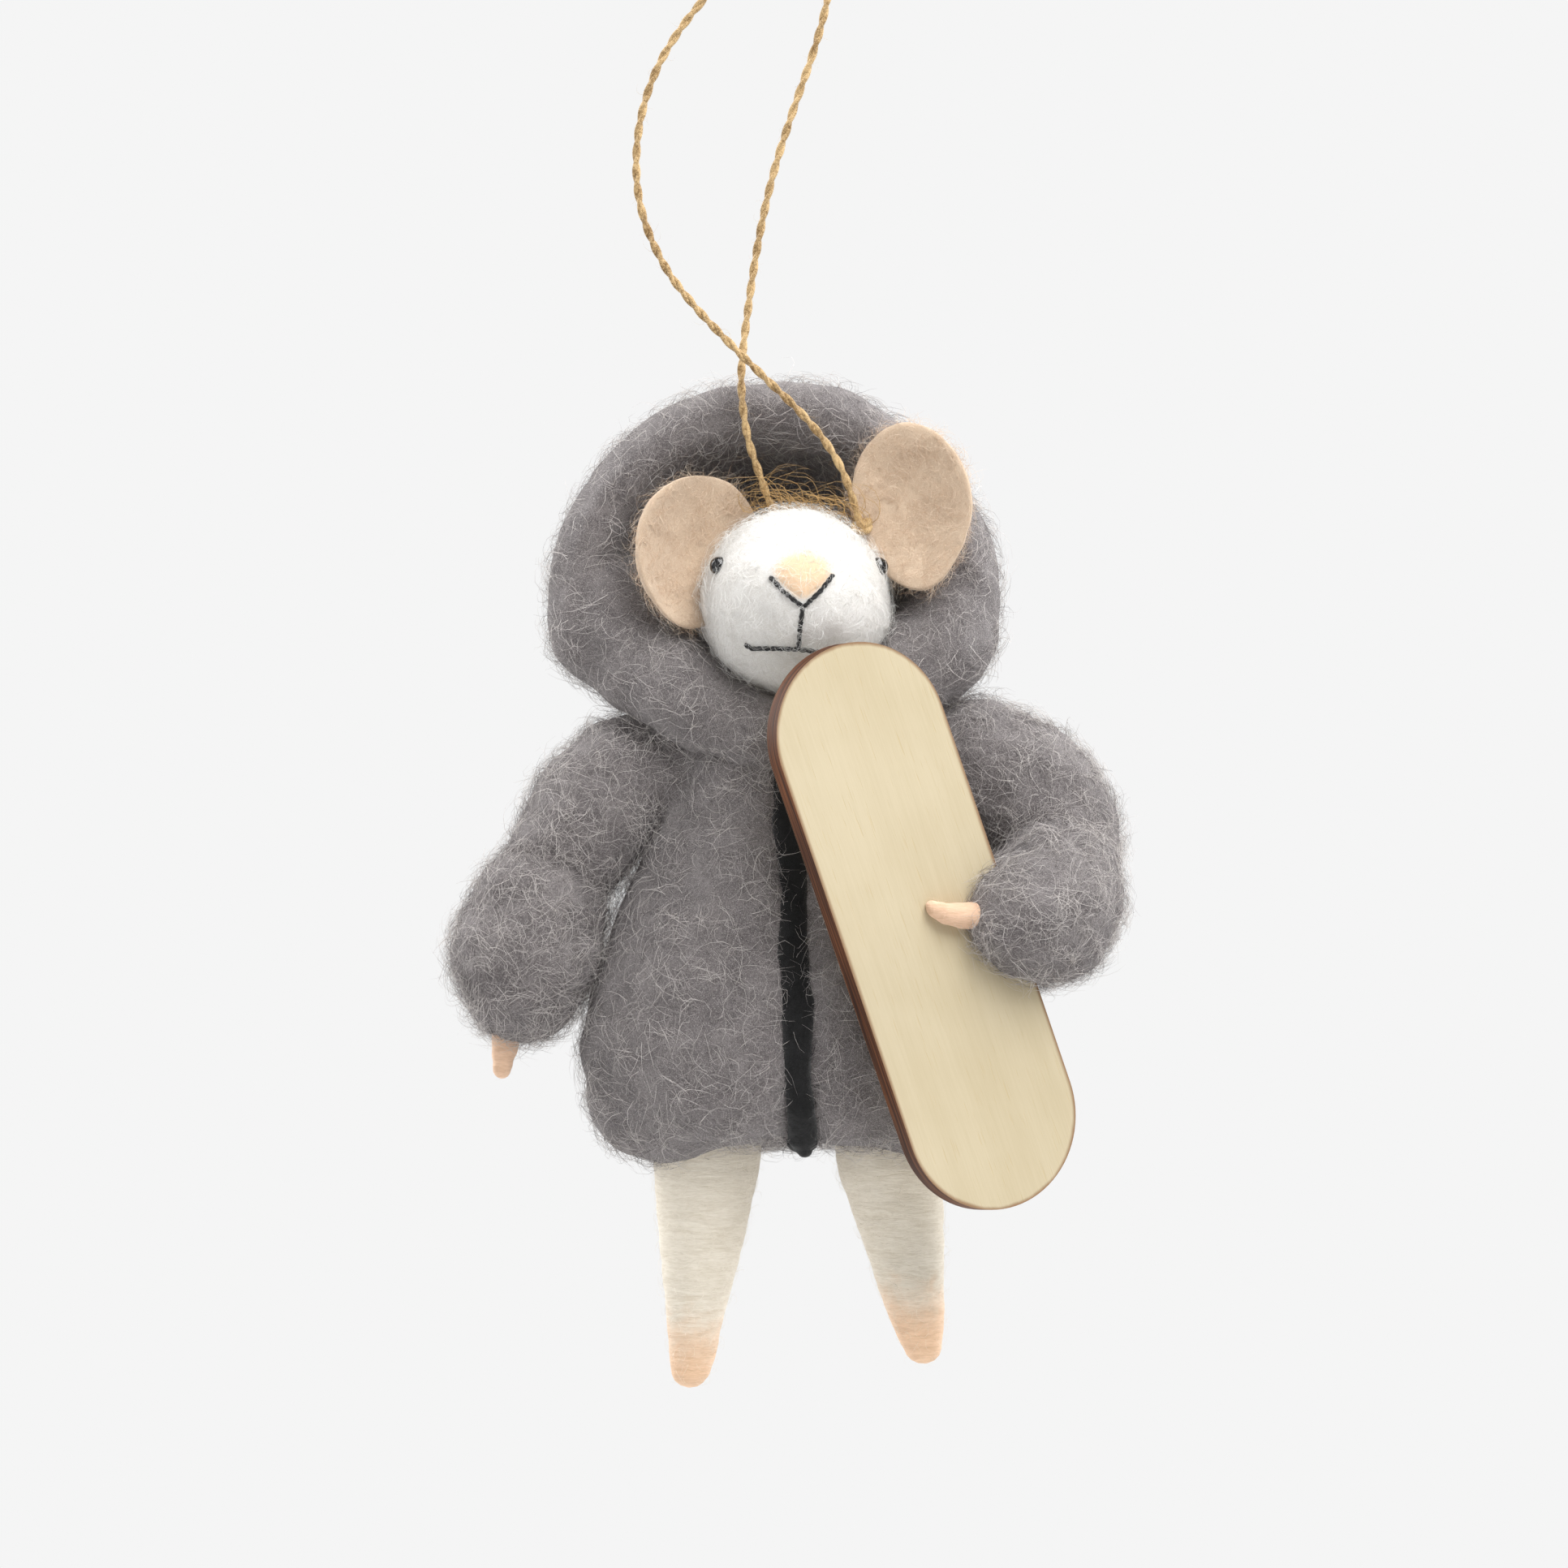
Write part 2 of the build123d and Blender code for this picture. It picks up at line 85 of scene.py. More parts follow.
# ------------------------------------------------------------------ shader helpers
class Sock:
    """A value in a material's maths: expressions on it add Math nodes."""

    def __init__(self, mat, socket):
        self.mat, self.socket = mat, socket

    def _math(self, operation, *others):
        ins = {i: (o.socket if isinstance(o, Sock) else o) for i, o in enumerate((self, *others))}
        return self.mat.node("ShaderNodeMath", {"operation": operation}, ins)

    def __add__(self, other):
        return self._math("ADD", other)

    def __sub__(self, other):
        return self._math("SUBTRACT", other)

    def __mul__(self, other):
        return self._math("MULTIPLY", other)

    def __rsub__(self, other):
        return self * -1 + other

    def greater(self, other):
        return self._math("GREATER_THAN", other)

    def most(self, other):
        return self._math("MAXIMUM", other)

    def size(self):
        return self._math("ABSOLUTE")

    def root(self):
        return self._math("SQRT")

    def step(self, low, high):
        """0 below low, 1 above high, smooth between."""
        settings = {"interpolation_type": "SMOOTHSTEP"}
        return self.mat.node("ShaderNodeMapRange", settings, {0: self.socket, 1: low, 2: high})


class Material:
    """A procedural material with one Principled shader."""

    def __init__(self, name, **constants):
        self.made = bpy.data.materials.new(name)
        self.made.use_nodes = True
        self.tree = self.made.node_tree
        self.shader = self.tree.nodes["Principled BSDF"]
        for socket, value in constants.items():
            self.shader.inputs[socket.replace("_", " ")].default_value = value
        self.place = self.node("ShaderNodeTexCoord", {}, {}, "Object")

    def node(self, kind, settings, inputs, output=0):
        made = self.tree.nodes.new(kind)
        for key, value in settings.items():
            setattr(made, key, value)
        for key, value in inputs.items():
            if isinstance(value, Sock):
                value = value.socket
            if isinstance(value, bpy.types.NodeSocket):
                self.tree.links.new(value, made.inputs[key])
            else:
                made.inputs[key].default_value = value
        return Sock(self, made.outputs[output])

    def noise(self, scale, detail=3.0, rough=0.6, warp=0.0, where=None):
        ins = {"Vector": where or self.place, "Scale": scale, "Detail": detail, "Roughness": rough,
               "Distortion": warp}
        return self.node("ShaderNodeTexNoise", {}, ins)

    def stretched(self, x, y, z):
        return self.node("ShaderNodeMapping", {}, {"Vector": self.place, "Scale": (x, y, z)})

    def axis(self, name):
        return self.node("ShaderNodeSeparateXYZ", {}, {0: self.place}, name)

    def mix(self, factor, first, second):
        ins = {0: factor, 6: first, 7: second}
        return self.node("ShaderNodeMix", {"data_type": "RGBA"}, ins, 2)

    def colour(self, value):
        self.tree.links.new(value.socket, self.shader.inputs["Base Color"])

    def rough(self, value):
        self.tree.links.new(value.socket, self.shader.inputs["Roughness"])

    def bump(self, height, distance, strength=1.0):
        made = self.node("ShaderNodeBump", {}, {"Height": height, "Distance": distance, "Strength": strength})
        self.tree.links.new(made.socket, self.shader.inputs["Normal"])


def rgb(red, green, blue):
    """A colour given as it is seen on a screen, 0 to 255."""
    return tuple((c / 255) ** 2.2 for c in (red, green, blue)) + (1.0,)


NOSE_POINT = (1.0, 104.3)    # where the peach wool of the nose ends in a point


def wool(name, dark, middle, light, patch=180.0, depth=0.0003, contrast=1.0, warm=None):
    """Felted wool: soft blotches, tangled hairs as fine warped noise, no gloss.

    A warm colour is felted into it over the nose: a point below, rounded above.
    """
    mat = Material(name, Roughness=0.95, Sheen_Weight=0.25, Sheen_Roughness=0.6, Specular_IOR_Level=0.1)
    blotch = mat.noise(patch, 4.0, 0.65, 0.6)
    hairs = mat.noise(2300.0, 2.0, 0.7, 5.0)
    strands = mat.noise(1100.0, 3.0, 0.75, 8.0)
    spread = 0.13 / contrast
    tone = (blotch * 0.2 + hairs * 0.4 + strands * 0.4).step(0.5 - spread, 0.5 + spread)
    colour = mat.mix(tone, dark, middle)
    colour = mat.mix((strands * 0.5 + hairs * 0.5).step(0.53, 0.66), colour, light)
    if warm is not None:
        across = mat.axis("X") - at(NOSE_POINT[0], 0, 0).x
        height = mat.axis("Z") - at(0, 0, NOSE_POINT[1]).z
        ragged = (strands - 0.5) * 0.0025
        inside = (height - across.size() + ragged).step(-0.0006, 0.0008)
        middle_up = height - 0.0042
        reach = (across * across * 0.85 + middle_up * middle_up * 1.25).root() + ragged
        inside = inside * (1 - reach.step(0.0026, 0.0042))
        colour = mat.mix(inside * 0.95, colour, warm)
    mat.colour(colour)
    mat.bump(hairs * 0.4 + strands * 0.6, depth, 0.7)
    return mat.made


def wound(name, upper, lower, change, band=0.005):
    """Wool wound round a wire: level turns with painted shade in the low ground between them, and a soft
    change of colour at a height.
    """
    mat = Material(name, Roughness=0.92, Sheen_Weight=0.2, Sheen_Roughness=0.6, Specular_IOR_Level=0.1)
    blotch = mat.noise(300.0, 3.0, 0.6, 0.5)
    turns = mat.noise(1.0, 3.0, 0.65, 1.2, mat.stretched(160.0, 160.0, 1300.0))
    hairs = mat.noise(1.0, 2.0, 0.6, 2.0, mat.stretched(500.0, 500.0, 3600.0))
    height = mat.axis("Z") + (blotch - 0.5) * 0.008 + (turns - 0.5) * 0.004
    base = mat.mix(height.step(change - band, change + band), lower, upper)
    # Painted shade: where the bump is low, between the turns, the colour is darkened with a warm tint, as if
    # shade fell there.
    groove_shade = (turns * 0.5 + hairs * 0.5).step(0.25, 0.68)
    shaded_groove_colour = mat.node("ShaderNodeVectorMath", {"operation": "MULTIPLY"}, {0: base, 1: (0.76, 0.73, 0.68)})
    mat.colour(mat.mix(groove_shade, shaded_groove_colour, base))
    mat.bump(turns * 0.5 + hairs * 0.5, 0.00025, 0.6)
    return mat.made


def fibre(name, tone):
    """Single hairs of one colour."""
    return Material(name, Base_Color=tone, Roughness=0.75, Specular_IOR_Level=0.25).made


GREY_WOOL = wool("grey_wool", rgb(90, 84, 85), rgb(142, 136, 135), rgb(196, 190, 187), 180.0, 0.0005, 1.5)
WHITE_WOOL = wool("white_wool", rgb(224, 220, 214), rgb(241, 239, 235), rgb(252, 251, 248), 240.0, 0.0004,
                  1.6, rgb(250, 213, 172))
EAR_FELT = wool("ear_felt", rgb(202, 175, 148), rgb(215, 192, 166), rgb(226, 208, 186), 300.0, 0.0004, 1.2)
ZIP_WOOL = wool("zip_wool", rgb(8, 8, 9), rgb(20, 20, 21), rgb(40, 40, 42), 300.0, 0.0002)
HAND_WOOL = wound("hand_wool", rgb(228, 192, 164), rgb(228, 192, 164), 0.0)
HAIRS = {
    "grey_light": fibre("hair_grey_light", rgb(206, 200, 196)),
    "grey": fibre("hair_grey", rgb(160, 154, 153)),
    "grey_dark": fibre("hair_grey_dark", rgb(98, 92, 93)),
    "white": fibre("hair_white", rgb(250, 249, 246)),
    "white_dark": fibre("hair_white_dark", rgb(214, 210, 203)),
    "peach_dark": fibre("hair_peach_dark", rgb(202, 170, 142)),
    "peach": fibre("hair_peach", rgb(232, 212, 190)),
    "cream": fibre("hair_cream", rgb(238, 230, 216)),
    "black": fibre("hair_black", rgb(20, 20, 21)),
    "jute": fibre("hair_jute", rgb(190, 154, 104)),
}


# ------------------------------------------------------------------ mesh helpers
def mesh_piece(name, mesh, material, body, hides=()):
    """A finished piece: its mesh, finish and body, and what it stands for."""
    piece = bpy.data.objects.new(name, mesh)
    bpy.context.scene.collection.objects.link(piece)
    mesh.materials.clear()
    mesh.materials.append(material)
    for face in mesh.polygons:
        face.use_smooth = True
    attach(piece, body)
    if hides:
        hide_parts(*hides)
    return piece


def applied(name, maker, *modifiers):
    """The mesh that a bmesh gives once its modifiers are applied."""
    mesh = bpy.data.meshes.new(name)
    maker.to_mesh(mesh)
    maker.free()
    helper = bpy.data.objects.new(name + "_helper", mesh)
    bpy.context.scene.collection.objects.link(helper)
    for kind, settings in modifiers:
        modifier = helper.modifiers.new(kind, kind)
        for key, value in settings.items():
            setattr(modifier, key, value)
    view = helper.evaluated_get(bpy.context.evaluated_depsgraph_get())
    result = bpy.data.meshes.new_from_object(view)
    bpy.data.objects.remove(helper)
    return result


def add_ball(maker, centre, radii):
    """An egg in the mesh, about a point in the frame, with radii in millimetres."""
    if not hasattr(radii, "__len__"):
        radii = (radii, radii, radii)
    turn = Matrix.Translation(centre) @ Matrix.Diagonal((*(r * MM for r in radii), 1.0))
    bmesh.ops.create_icosphere(maker, subdivisions=4, radius=1.0, matrix=turn)


def add_limb(maker, stations, steps=5):
    """Overlapping balls along a limb; each station is a centre and its radius."""
    for (start, first), (end, last) in zip(stations, stations[1:]):
        for step in range(steps + 1):
            share = step / steps
            add_ball(maker, start.lerp(end, share), first + (last - first) * share)


def lumpy(mesh, size, height, seed=0.0):
    """Uneven wool: vertices move along their normals by smooth noise, in millimetres."""
    shift = Vector((seed, seed * 1.7, seed * 2.3))
    normals = [vertex.normal.copy() for vertex in mesh.vertices]
    for vertex, normal in zip(mesh.vertices, normals):
        coarse = noise.noise(vertex.co / (size * MM) + shift)
        fine = noise.noise(vertex.co / (size * 0.35 * MM) - shift)
        vertex.co += normal * (coarse + 0.4 * fine) * height * MM
    mesh.update()
    return mesh


def felted(name, maker, voxel=0.8, smoothing=6, size=7.0, height=0.5, seed=0.0):
    """One skin of wool over joined shapes."""
    mesh = applied(name, maker, ("REMESH", {"mode": "VOXEL", "voxel_size": voxel * MM}),
                   ("SMOOTH", {"iterations": smoothing, "factor": 0.5}))
    return lumpy(mesh, size, height, seed)


def bridge(maker, loops):
    """Faces between each loop of points and the next."""
    for low, high in zip(loops, loops[1:]):
        for side in range(len(low)):
            after = (side + 1) % len(low)
            maker.faces.new((low[side], low[after], high[after], high[side]))


def rings(maker, levels, sides=72):
    """A closed skin through level rings, each a list of points, with both ends closed."""
    loops = [[maker.verts.new(point) for point in ring(sides)] for ring in levels]
    bridge(maker, loops)
    maker.faces.new(loops[0][::-1])
    maker.faces.new(loops[-1])
    bmesh.ops.recalc_face_normals(maker, faces=maker.faces)


def ellipse_ring(x, y, height, half_width, half_depth):
    def points(sides):
        turns = [2 * pi * side / sides for side in range(sides)]
        return [at(x + half_width * cos(t), y + half_depth * sin(t), height) for t in turns]
    return points


# ------------------------------------------------------------------ camera and light
FRAME_WIDTH = 208.7      # millimetres across the view at the figure
LENS = 200.0
SENSOR = 36.0
VIEW_MIDDLE = (-1.5, 81.0)
FLOOR_HEIGHT = -62.0
camera_data = bpy.data.cameras.new("camera")
camera_data.lens = LENS
camera_data.sensor_width = SENSOR
camera_data.clip_end = 20.0
camera = bpy.data.objects.new("camera", camera_data)
camera.location = at(VIEW_MIDDLE[0], LOOP_Y - FRAME_WIDTH * LENS / SENSOR, VIEW_MIDDLE[1])
camera.rotation_euler = (pi / 2, 0.0, 0.0)
bpy.context.scene.collection.objects.link(camera)
bpy.context.scene.camera = camera
bpy.context.scene.view_settings.view_transform = "Standard"


def studio():
    """A pale room: bright even air, a floor well below, and soft boxes."""
    world = bpy.data.worlds.new("studio")
    bpy.context.scene.world = world
    world.use_nodes = True
    tree = world.node_tree
    air = tree.nodes["Background"]
    air.inputs["Color"].default_value = (0.913, 0.913, 0.913, 1.0)
    seen = tree.nodes.new("ShaderNodeLightPath")
    level = tree.nodes.new("ShaderNodeMapRange")
    level.inputs["To Min"].default_value = 0.36
    level.inputs["To Max"].default_value = 1.0
    tree.links.new(seen.outputs["Is Camera Ray"], level.inputs["Value"])
    tree.links.new(level.outputs[0], air.inputs["Strength"])
    maker = bmesh.new()
    bmesh.ops.create_grid(maker, x_segments=1, y_segments=1, size=0.4)
    mesh = bpy.data.meshes.new("floor")
    maker.to_mesh(mesh)
    maker.free()
    mesh.transform(Matrix.Translation(at(0, 0, FLOOR_HEIGHT)))
    floor = bpy.data.objects.new("floor", mesh)
    bpy.context.scene.collection.objects.link(floor)
    mesh.materials.append(Material("floor", Base_Color=(0.6, 0.6, 0.6, 1), Roughness=0.9).made)
    boxes = {            # place, side in metres, power in watts
        "key": ((260, -420, 520), 0.4, 3.9),
        "top": ((80, -150, 640), 0.4, 2.4),
        "fill": ((-420, -420, 200), 0.6, 0.6),
        "left_rim": ((-430, 220, 330), 0.4, 3.8),
        "right_rim": ((430, 220, 300), 0.4, 3.2),
    }
    for name, (place, side, power) in boxes.items():
        light = bpy.data.lights.new(name, "AREA")
        light.size = side
        light.energy = power
        lamp = bpy.data.objects.new(name, light)
        lamp.location = at(*place)
        lamp.rotation_euler = (at(0, 0, 80) - lamp.location).to_track_quat("-Z", "Y").to_euler()
        bpy.context.scene.collection.objects.link(lamp)


studio()

# ------------------------------------------------------------------ twine
TWINE_POINTS = [
    at(-2.5, -8.0, 115.9), at(-4.6, -8.2, 121.7), at(-6.6, -8.4, 127.5), at(-7.4, -8.3, 135.3),
    at(-6.4, -8.0, 143.5), at(-5.1, -8.0, 152.6), at(-3.1, -8.0, 162.0), at(-0.1, -8.0, 171.3),
    at(2.9, -8.0, 179.6), at(4.7, -8.0, 187.0), at(5.3, -8.0, 193.4), at(4.7, -8.0, 198.9),
    at(2.4, -8.0, 203.2), at(-2.4, -8.0, 203.2), at(-4.6, -8.0, 198.7), at(-6.6, -8.0, 193.6),
    at(-9.3, -8.0, 188.6), at(-14.7, -8.0, 182.6), at(-19.0, -8.0, 175.6), at(-21.3, -8.0, 167.0),
    at(-21.0, -8.2, 157.9), at(-17.6, -9.4, 149.8), at(-13.6, -11.0, 144.6), at(-9.6, -12.3, 140.3),
    at(-4.0, -12.4, 134.8), at(0.6, -12.0, 130.5), at(4.6, -11.6, 125.8), at(7.3, -11.0, 120.6),
    at(8.8, -9.7, 114.6),
]


def spline_line(points, name, closeness=10):
    """Points of the smooth line that a NURBS spline makes of a route's points."""
    curve = bpy.data.curves.new(name, "CURVE")
    curve.dimensions = "3D"
    spline = curve.splines.new("NURBS")
    spline.points.add(len(points) - 1)
    for knot, point in zip(spline.points, points):
        knot.co = (*point, 1.0)
    spline.order_u = 3
    spline.use_endpoint_u = True
    spline.resolution_u = closeness
    helper = bpy.data.objects.new(name, curve)
    bpy.context.scene.collection.objects.link(helper)
    view = helper.evaluated_get(bpy.context.evaluated_depsgraph_get())
    mesh = bpy.data.meshes.new_from_object(view)
    line = [vertex.co.copy() for vertex in mesh.vertices]
    bpy.data.objects.remove(helper)
    bpy.data.meshes.remove(mesh)
    return line


def add_strand(maker, line, radius, offset=0.0, pitch=1.0, phase=0.0, sides=6, taper=False):
    """A closed tube that follows a line, or winds round it at an offset."""
    across = (line[1] - line[0]).orthogonal().normalized()
    travelled = 0.0
    loops = []
    for index, point in enumerate(line):
        before, after = line[max(index - 1, 0)], line[min(index + 1, len(line) - 1)]
        along = (after - before).normalized()
        across = (across - along * across.dot(along)).normalized()
        beside = along.cross(across)
        if index:
            travelled += (point - line[index - 1]).length
        wind = phase + 2 * pi * travelled / pitch
        centre = point + (across * cos(wind) + beside * sin(wind)) * offset
        share = index / (len(line) - 1)
        thick = radius * (1.0 - 0.85 * share if taper else 1.0)
        turns = [2 * pi * side / sides for side in range(sides)]
        loops.append([maker.verts.new(centre + (across * cos(t) + beside * sin(t)) * thick) for t in turns])
    bridge(maker, loops)
    maker.faces.new(loops[0][::-1])
    maker.faces.new(loops[-1])


def finer(line, spacing):
    """The same line with points at an even spacing."""
    points = [line[0]]
    for start, end in zip(line, line[1:]):
        parts = max(1, round((end - start).length / spacing))
        points += [start.lerp(end, (part + 1) / parts) for part in range(parts)]
    return points


def jute(name):
    """Jute: hard golden-brown bast fibre, streaked along the twist."""
    mat = Material(name, Roughness=0.7, Specular_IOR_Level=0.3, Sheen_Weight=0.1)
    streak = mat.noise(2600.0, 3.0, 0.7, 1.0)
    patch = mat.noise(260.0, 3.0, 0.6, 0.4)
    tone = (streak * 0.6 + patch * 0.4).step(0.36, 0.62)
    mat.colour(mat.mix(tone, rgb(122, 94, 58), rgb(200, 170, 124)))
    mat.bump(streak, 0.00012, 0.8)
    return mat.made


JUTE = jute("jute")
twine_line = finer(spline_line(TWINE_POINTS, "twine_route"), 0.3 * MM)
twine_length = sum((b - a).length for a, b in zip(twine_line, twine_line[1:]))
maker = bmesh.new()
for ply in range(2):
    add_strand(maker, twine_line, 0.35 * MM, 0.22 * MM, 5.4 * MM, ply * pi, 8)
twine_mesh = bpy.data.meshes.new("twine")
maker.to_mesh(twine_mesh)
maker.free()
twine = mesh_piece("twine", twine_mesh, JUTE, "head", ["twine_loop"])

# ------------------------------------------------------------------ hood and coat
COAT_LEVELS = [          # height, half width, half depth
    (32.8, 18.0, 11.5), (33.8, 23.0, 15.0), (37.8, 27.2, 17.4), (45.9, 29.0, 18.8), (54.0, 27.3, 18.6),
    (61.0, 25.0, 17.8), (70.3, 20.8, 16.4), (77.2, 18.2, 15.2), (84.2, 16.8, 14.2), (91.0, 12.5, 11.0),
]


def coat_front(x, height):
    """How far forwards the coat's front is, beside its middle and at a height."""
    for low, high in zip(COAT_LEVELS, COAT_LEVELS[1:]):
        if low[0] <= height <= high[0]:
            share = (height - low[0]) / (high[0] - low[0])
            width = low[1] + (high[1] - low[1]) * share
            depth = low[2] + (high[2] - low[2]) * share
            return -depth * sqrt(max(0.0, 1 - (x / width) ** 2))
    return 0.0


COAT_MIDDLE = 0.6        # the zip's line, beside the mouse's middle
ZIP_GROOVE = (1.3, 2.6)  # how deep, and how far to each side
HEM_NOTCH = (1.6, 4.5)
BELL = 2.718             # base of both falls to the sides


def make_coat():
    maker = bmesh.new()
    rings(maker, [ellipse_ring(0, 0, height, width, depth) for height, width, depth in COAT_LEVELS])
    for side in (-1, 1):
        add_limb(maker, [(at(side * 9, 0, 85), 8.5), (at(side * 17, 0, 83.5), 7.5)])
        add_limb(maker, [(at(side * 15, -4, 38.5), 8.2), (at(side * 19, 0, 39.5), 9.0),
                         (at(side * 15, 5, 38.5), 8.2)])
    mesh = applied("coat_wool", maker, ("REMESH", {"mode": "VOXEL", "voxel_size": 0.9 * MM}),
                   ("SMOOTH", {"iterations": 10, "factor": 0.5}))
    middle = at(COAT_MIDDLE, 0, 0)
    for vertex in mesh.vertices:
        beside = (vertex.co.x - middle.x) / MM
        height = (vertex.co.z - at(0, 0, 0).z) / MM
        front = vertex.co.y < at(0, -4, 0).y
        if front and height < 84:
            vertex.co.y += ZIP_GROOVE[0] * MM * BELL ** (-(beside / ZIP_GROOVE[1]) ** 2)
        if height < 40 and front:
            vertex.co.z += HEM_NOTCH[0] * MM * BELL ** (-(beside / HEM_NOTCH[1]) ** 2)
    return lumpy(mesh, 9.0, 0.75, 3.0)


coat = mesh_piece("coat_wool", make_coat(), GREY_WOOL, "torso", ["coat_body", "body_core"])

HOOD_CENTRE = (-3.0, 104.4)
HOOD_SECTION = [         # distance from the hood's middle line, and place front to back
    (0.0, 24.5), (9.0, 23.6), (17.0, 19.8), (24.0, 13.5), (28.6, 6.0), (30.6, -0.5), (30.0, -4.0),
    (27.6, -6.4), (24.6, -5.6), (22.0, -2.0), (20.2, 3.0), (17.0, 8.0), (11.0, 11.6), (0.0, 12.8),
]


HOOD_FOOT = 98           # below this height the hood is drawn in towards the neck,
HOOD_FOOT_FALL = 22.0    # fully so this far further down,
HOOD_DRAWN = (0.30, 0.35)    # across and front to back,
HOOD_SHORTENED = 0.55    # and its height is shortened to this share


def make_hood():
    maker = bmesh.new()
    sides = 96
    loops = []
    for reach, depth in HOOD_SECTION:
        loop = []
        for side in range(sides):
            turn = 2 * pi * side / sides
            loop.append(maker.verts.new(at(HOOD_CENTRE[0] + max(reach, 0.2) * cos(turn), depth,
                                           HOOD_CENTRE[1] + max(reach, 0.2) * sin(turn))))
        loops.append(loop)
    bridge(maker, loops)
    maker.faces.new(loops[0])
    maker.faces.new(loops[-1][::-1])
    bmesh.ops.recalc_face_normals(maker, faces=maker.faces)
    for vertex in maker.verts:
        height = (vertex.co.z - at(0, 0, 0).z) / MM
        if height < HOOD_FOOT:
            share = min(1.0, (HOOD_FOOT - height) / HOOD_FOOT_FALL)
            pull = 1 - HOOD_DRAWN[0] * share
            vertex.co.x = at(-1, 0, 0).x + (vertex.co.x - at(-1, 0, 0).x) * pull
            vertex.co.y = at(0, 2, 0).y + (vertex.co.y - at(0, 2, 0).y) * (1 - HOOD_DRAWN[1] * share)
            vertex.co.z = at(0, 0, HOOD_FOOT - (HOOD_FOOT - height) * HOOD_SHORTENED).z
    add_limb(maker, [(at(-24.5, 0, 104), 7.4), (at(-20.0, -3, 97.5), 7.6), (at(-12.5, -7.5, 92.0), 6.6),
                     (at(-5.0, -10.8, 88.0), 5.4), (at(-1.0, -11.0, 85.5), 4.2)])
    add_limb(maker, [(at(20.5, -1, 106), 6.2), (at(19.5, -3, 100), 7.4), (at(13.0, -6.5, 94.0), 6.4),
                     (at(5.5, -10.0, 89.0), 5.0)])
    add_limb(maker, [(at(-14, 2, 91), 6.5), (at(0, 8, 89), 7.5), (at(15, 2, 92), 6.5)])
    return felted("hood_wool", maker, 0.9, 6, 9.0, 0.8, 11.0)


hood = mesh_piece("hood_wool", make_hood(), GREY_WOOL, "head", ["hood"])

# ------------------------------------------------------------------ zip strip


def make_zip():
    maker = bmesh.new()
    steps = 90
    for step in range(steps + 1):
        share = step / steps
        height = 87.0 - share * 53.6
        x = -1.2 + 2.0 * share + 0.2 * sin(share * 21)
        add_ball(maker, at(x, coat_front(x, height) + 0.9, height), (2.1 + 0.2 * sin(share * 13), 0.9, 1.3))
    for step in range(5):
        add_ball(maker, at(0.9 + 0.5 * sin(step * 2.1), coat_front(1, 34) + 1.8, 34.4 - step * 0.5), 1.0)
    return felted("zip_wool", maker, 0.35, 3, 2.4, 0.16, 5.0)


zip_piece = mesh_piece("zip_wool", make_zip(), ZIP_WOOL, "torso", ["zip_strip"])

# ------------------------------------------------------------------ sleeves
SLEEVES = {
    "right_upper_sleeve": ("right_upper_arm", 21.0, [
        (at(-17.5, 0, 82.8), 7.4), (at(-22.5, 0, 81.8), 8.4), (at(-27.3, -0.5, 77.0), 8.7),
        (at(-31.0, -1.0, 71.0), 7.4)]),
    "right_fore_sleeve": ("right_forearm", 23.0, [
        (at(-31.6, -1.0, 69.2), 6.8), (at(-34.4, -1.6, 63.5), 9.2), (at(-36.0, -2.0, 58.5), 10.0),
        (at(-36.6, -2.3, 55.0), 8.6), (at(-37.4, -2.4, 53.0), 6.2)]),
    "left_upper_sleeve": ("left_arm", 25.0, [
        (at(18.0, 0, 84.0), 7.8), (at(24.5, 0, 83.6), 9.0), (at(31.5, -0.5, 79.6), 9.3),
        (at(34.8, -2.0, 74.5), 8.6)]),
    "left_fore_sleeve": ("left_arm", 27.0, [
        (at(35.2, -4.0, 70.8), 8.0), (at(34.4, -9.0, 66.2), 9.2), (at(32.8, -12.8, 63.8), 9.4),
        (at(30.2, -16.2, 63.2), 7.8), (at(28.6, -18.2, 63.4), 6.0)]),
}
sleeves = {}
for name, (body, seed, stations) in SLEEVES.items():
    maker = bmesh.new()
    add_limb(maker, stations)
    mesh = felted(name + "_wool", maker, 0.7, 7, 6.5, 0.7, seed)
    sleeves[name] = mesh_piece(name + "_wool", mesh, GREY_WOOL, body, [name])

# ------------------------------------------------------------------ head
HEAD = (0.0, -6.0, 104.8)
HEAD_RADIUS = 12.75
HEAD_REACH = (18.5, 13.0)    # forwards to the muzzle, and back
MUZZLE_RISE = radians(6.0)


def make_head():
    maker = bmesh.new()
    bmesh.ops.create_icosphere(maker, subdivisions=5, radius=1.0)
    for vertex in maker.verts:
        length = HEAD_REACH[0] if vertex.co.y < 0 else HEAD_REACH[1]
        vertex.co = Vector((vertex.co.x * HEAD_RADIUS, vertex.co.y * length, vertex.co.z * HEAD_RADIUS))
    turn = Matrix.Translation(at(*HEAD)) @ Matrix.Rotation(-MUZZLE_RISE, 4, "X") @ Matrix.Scale(MM, 4)
    bmesh.ops.transform(maker, matrix=turn, verts=maker.verts)
    mesh = applied("head_wool", maker)
    return lumpy(mesh, 6.0, 0.28, 2.0)


head = mesh_piece("head_wool", make_head(), WHITE_WOOL, "head", ["head"])
head_tree = BVHTree.FromPolygons([v.co for v in head.data.vertices], [p.vertices for p in head.data.polygons])


def on_face(x, height, proud=0.0):
    """The point of the face in front view, stood proud of the wool in millimetres."""
    hit, normal, _, _ = head_tree.ray_cast(at(x, -60.0, height), Vector((0, 1, 0)))
    return hit + normal * proud * MM


def make_eye(x, height):
    maker = bmesh.new()
    add_ball(maker, on_face(x, height, -0.15), (1.3, 1.3, 1.25))
    return applied("eye", maker)


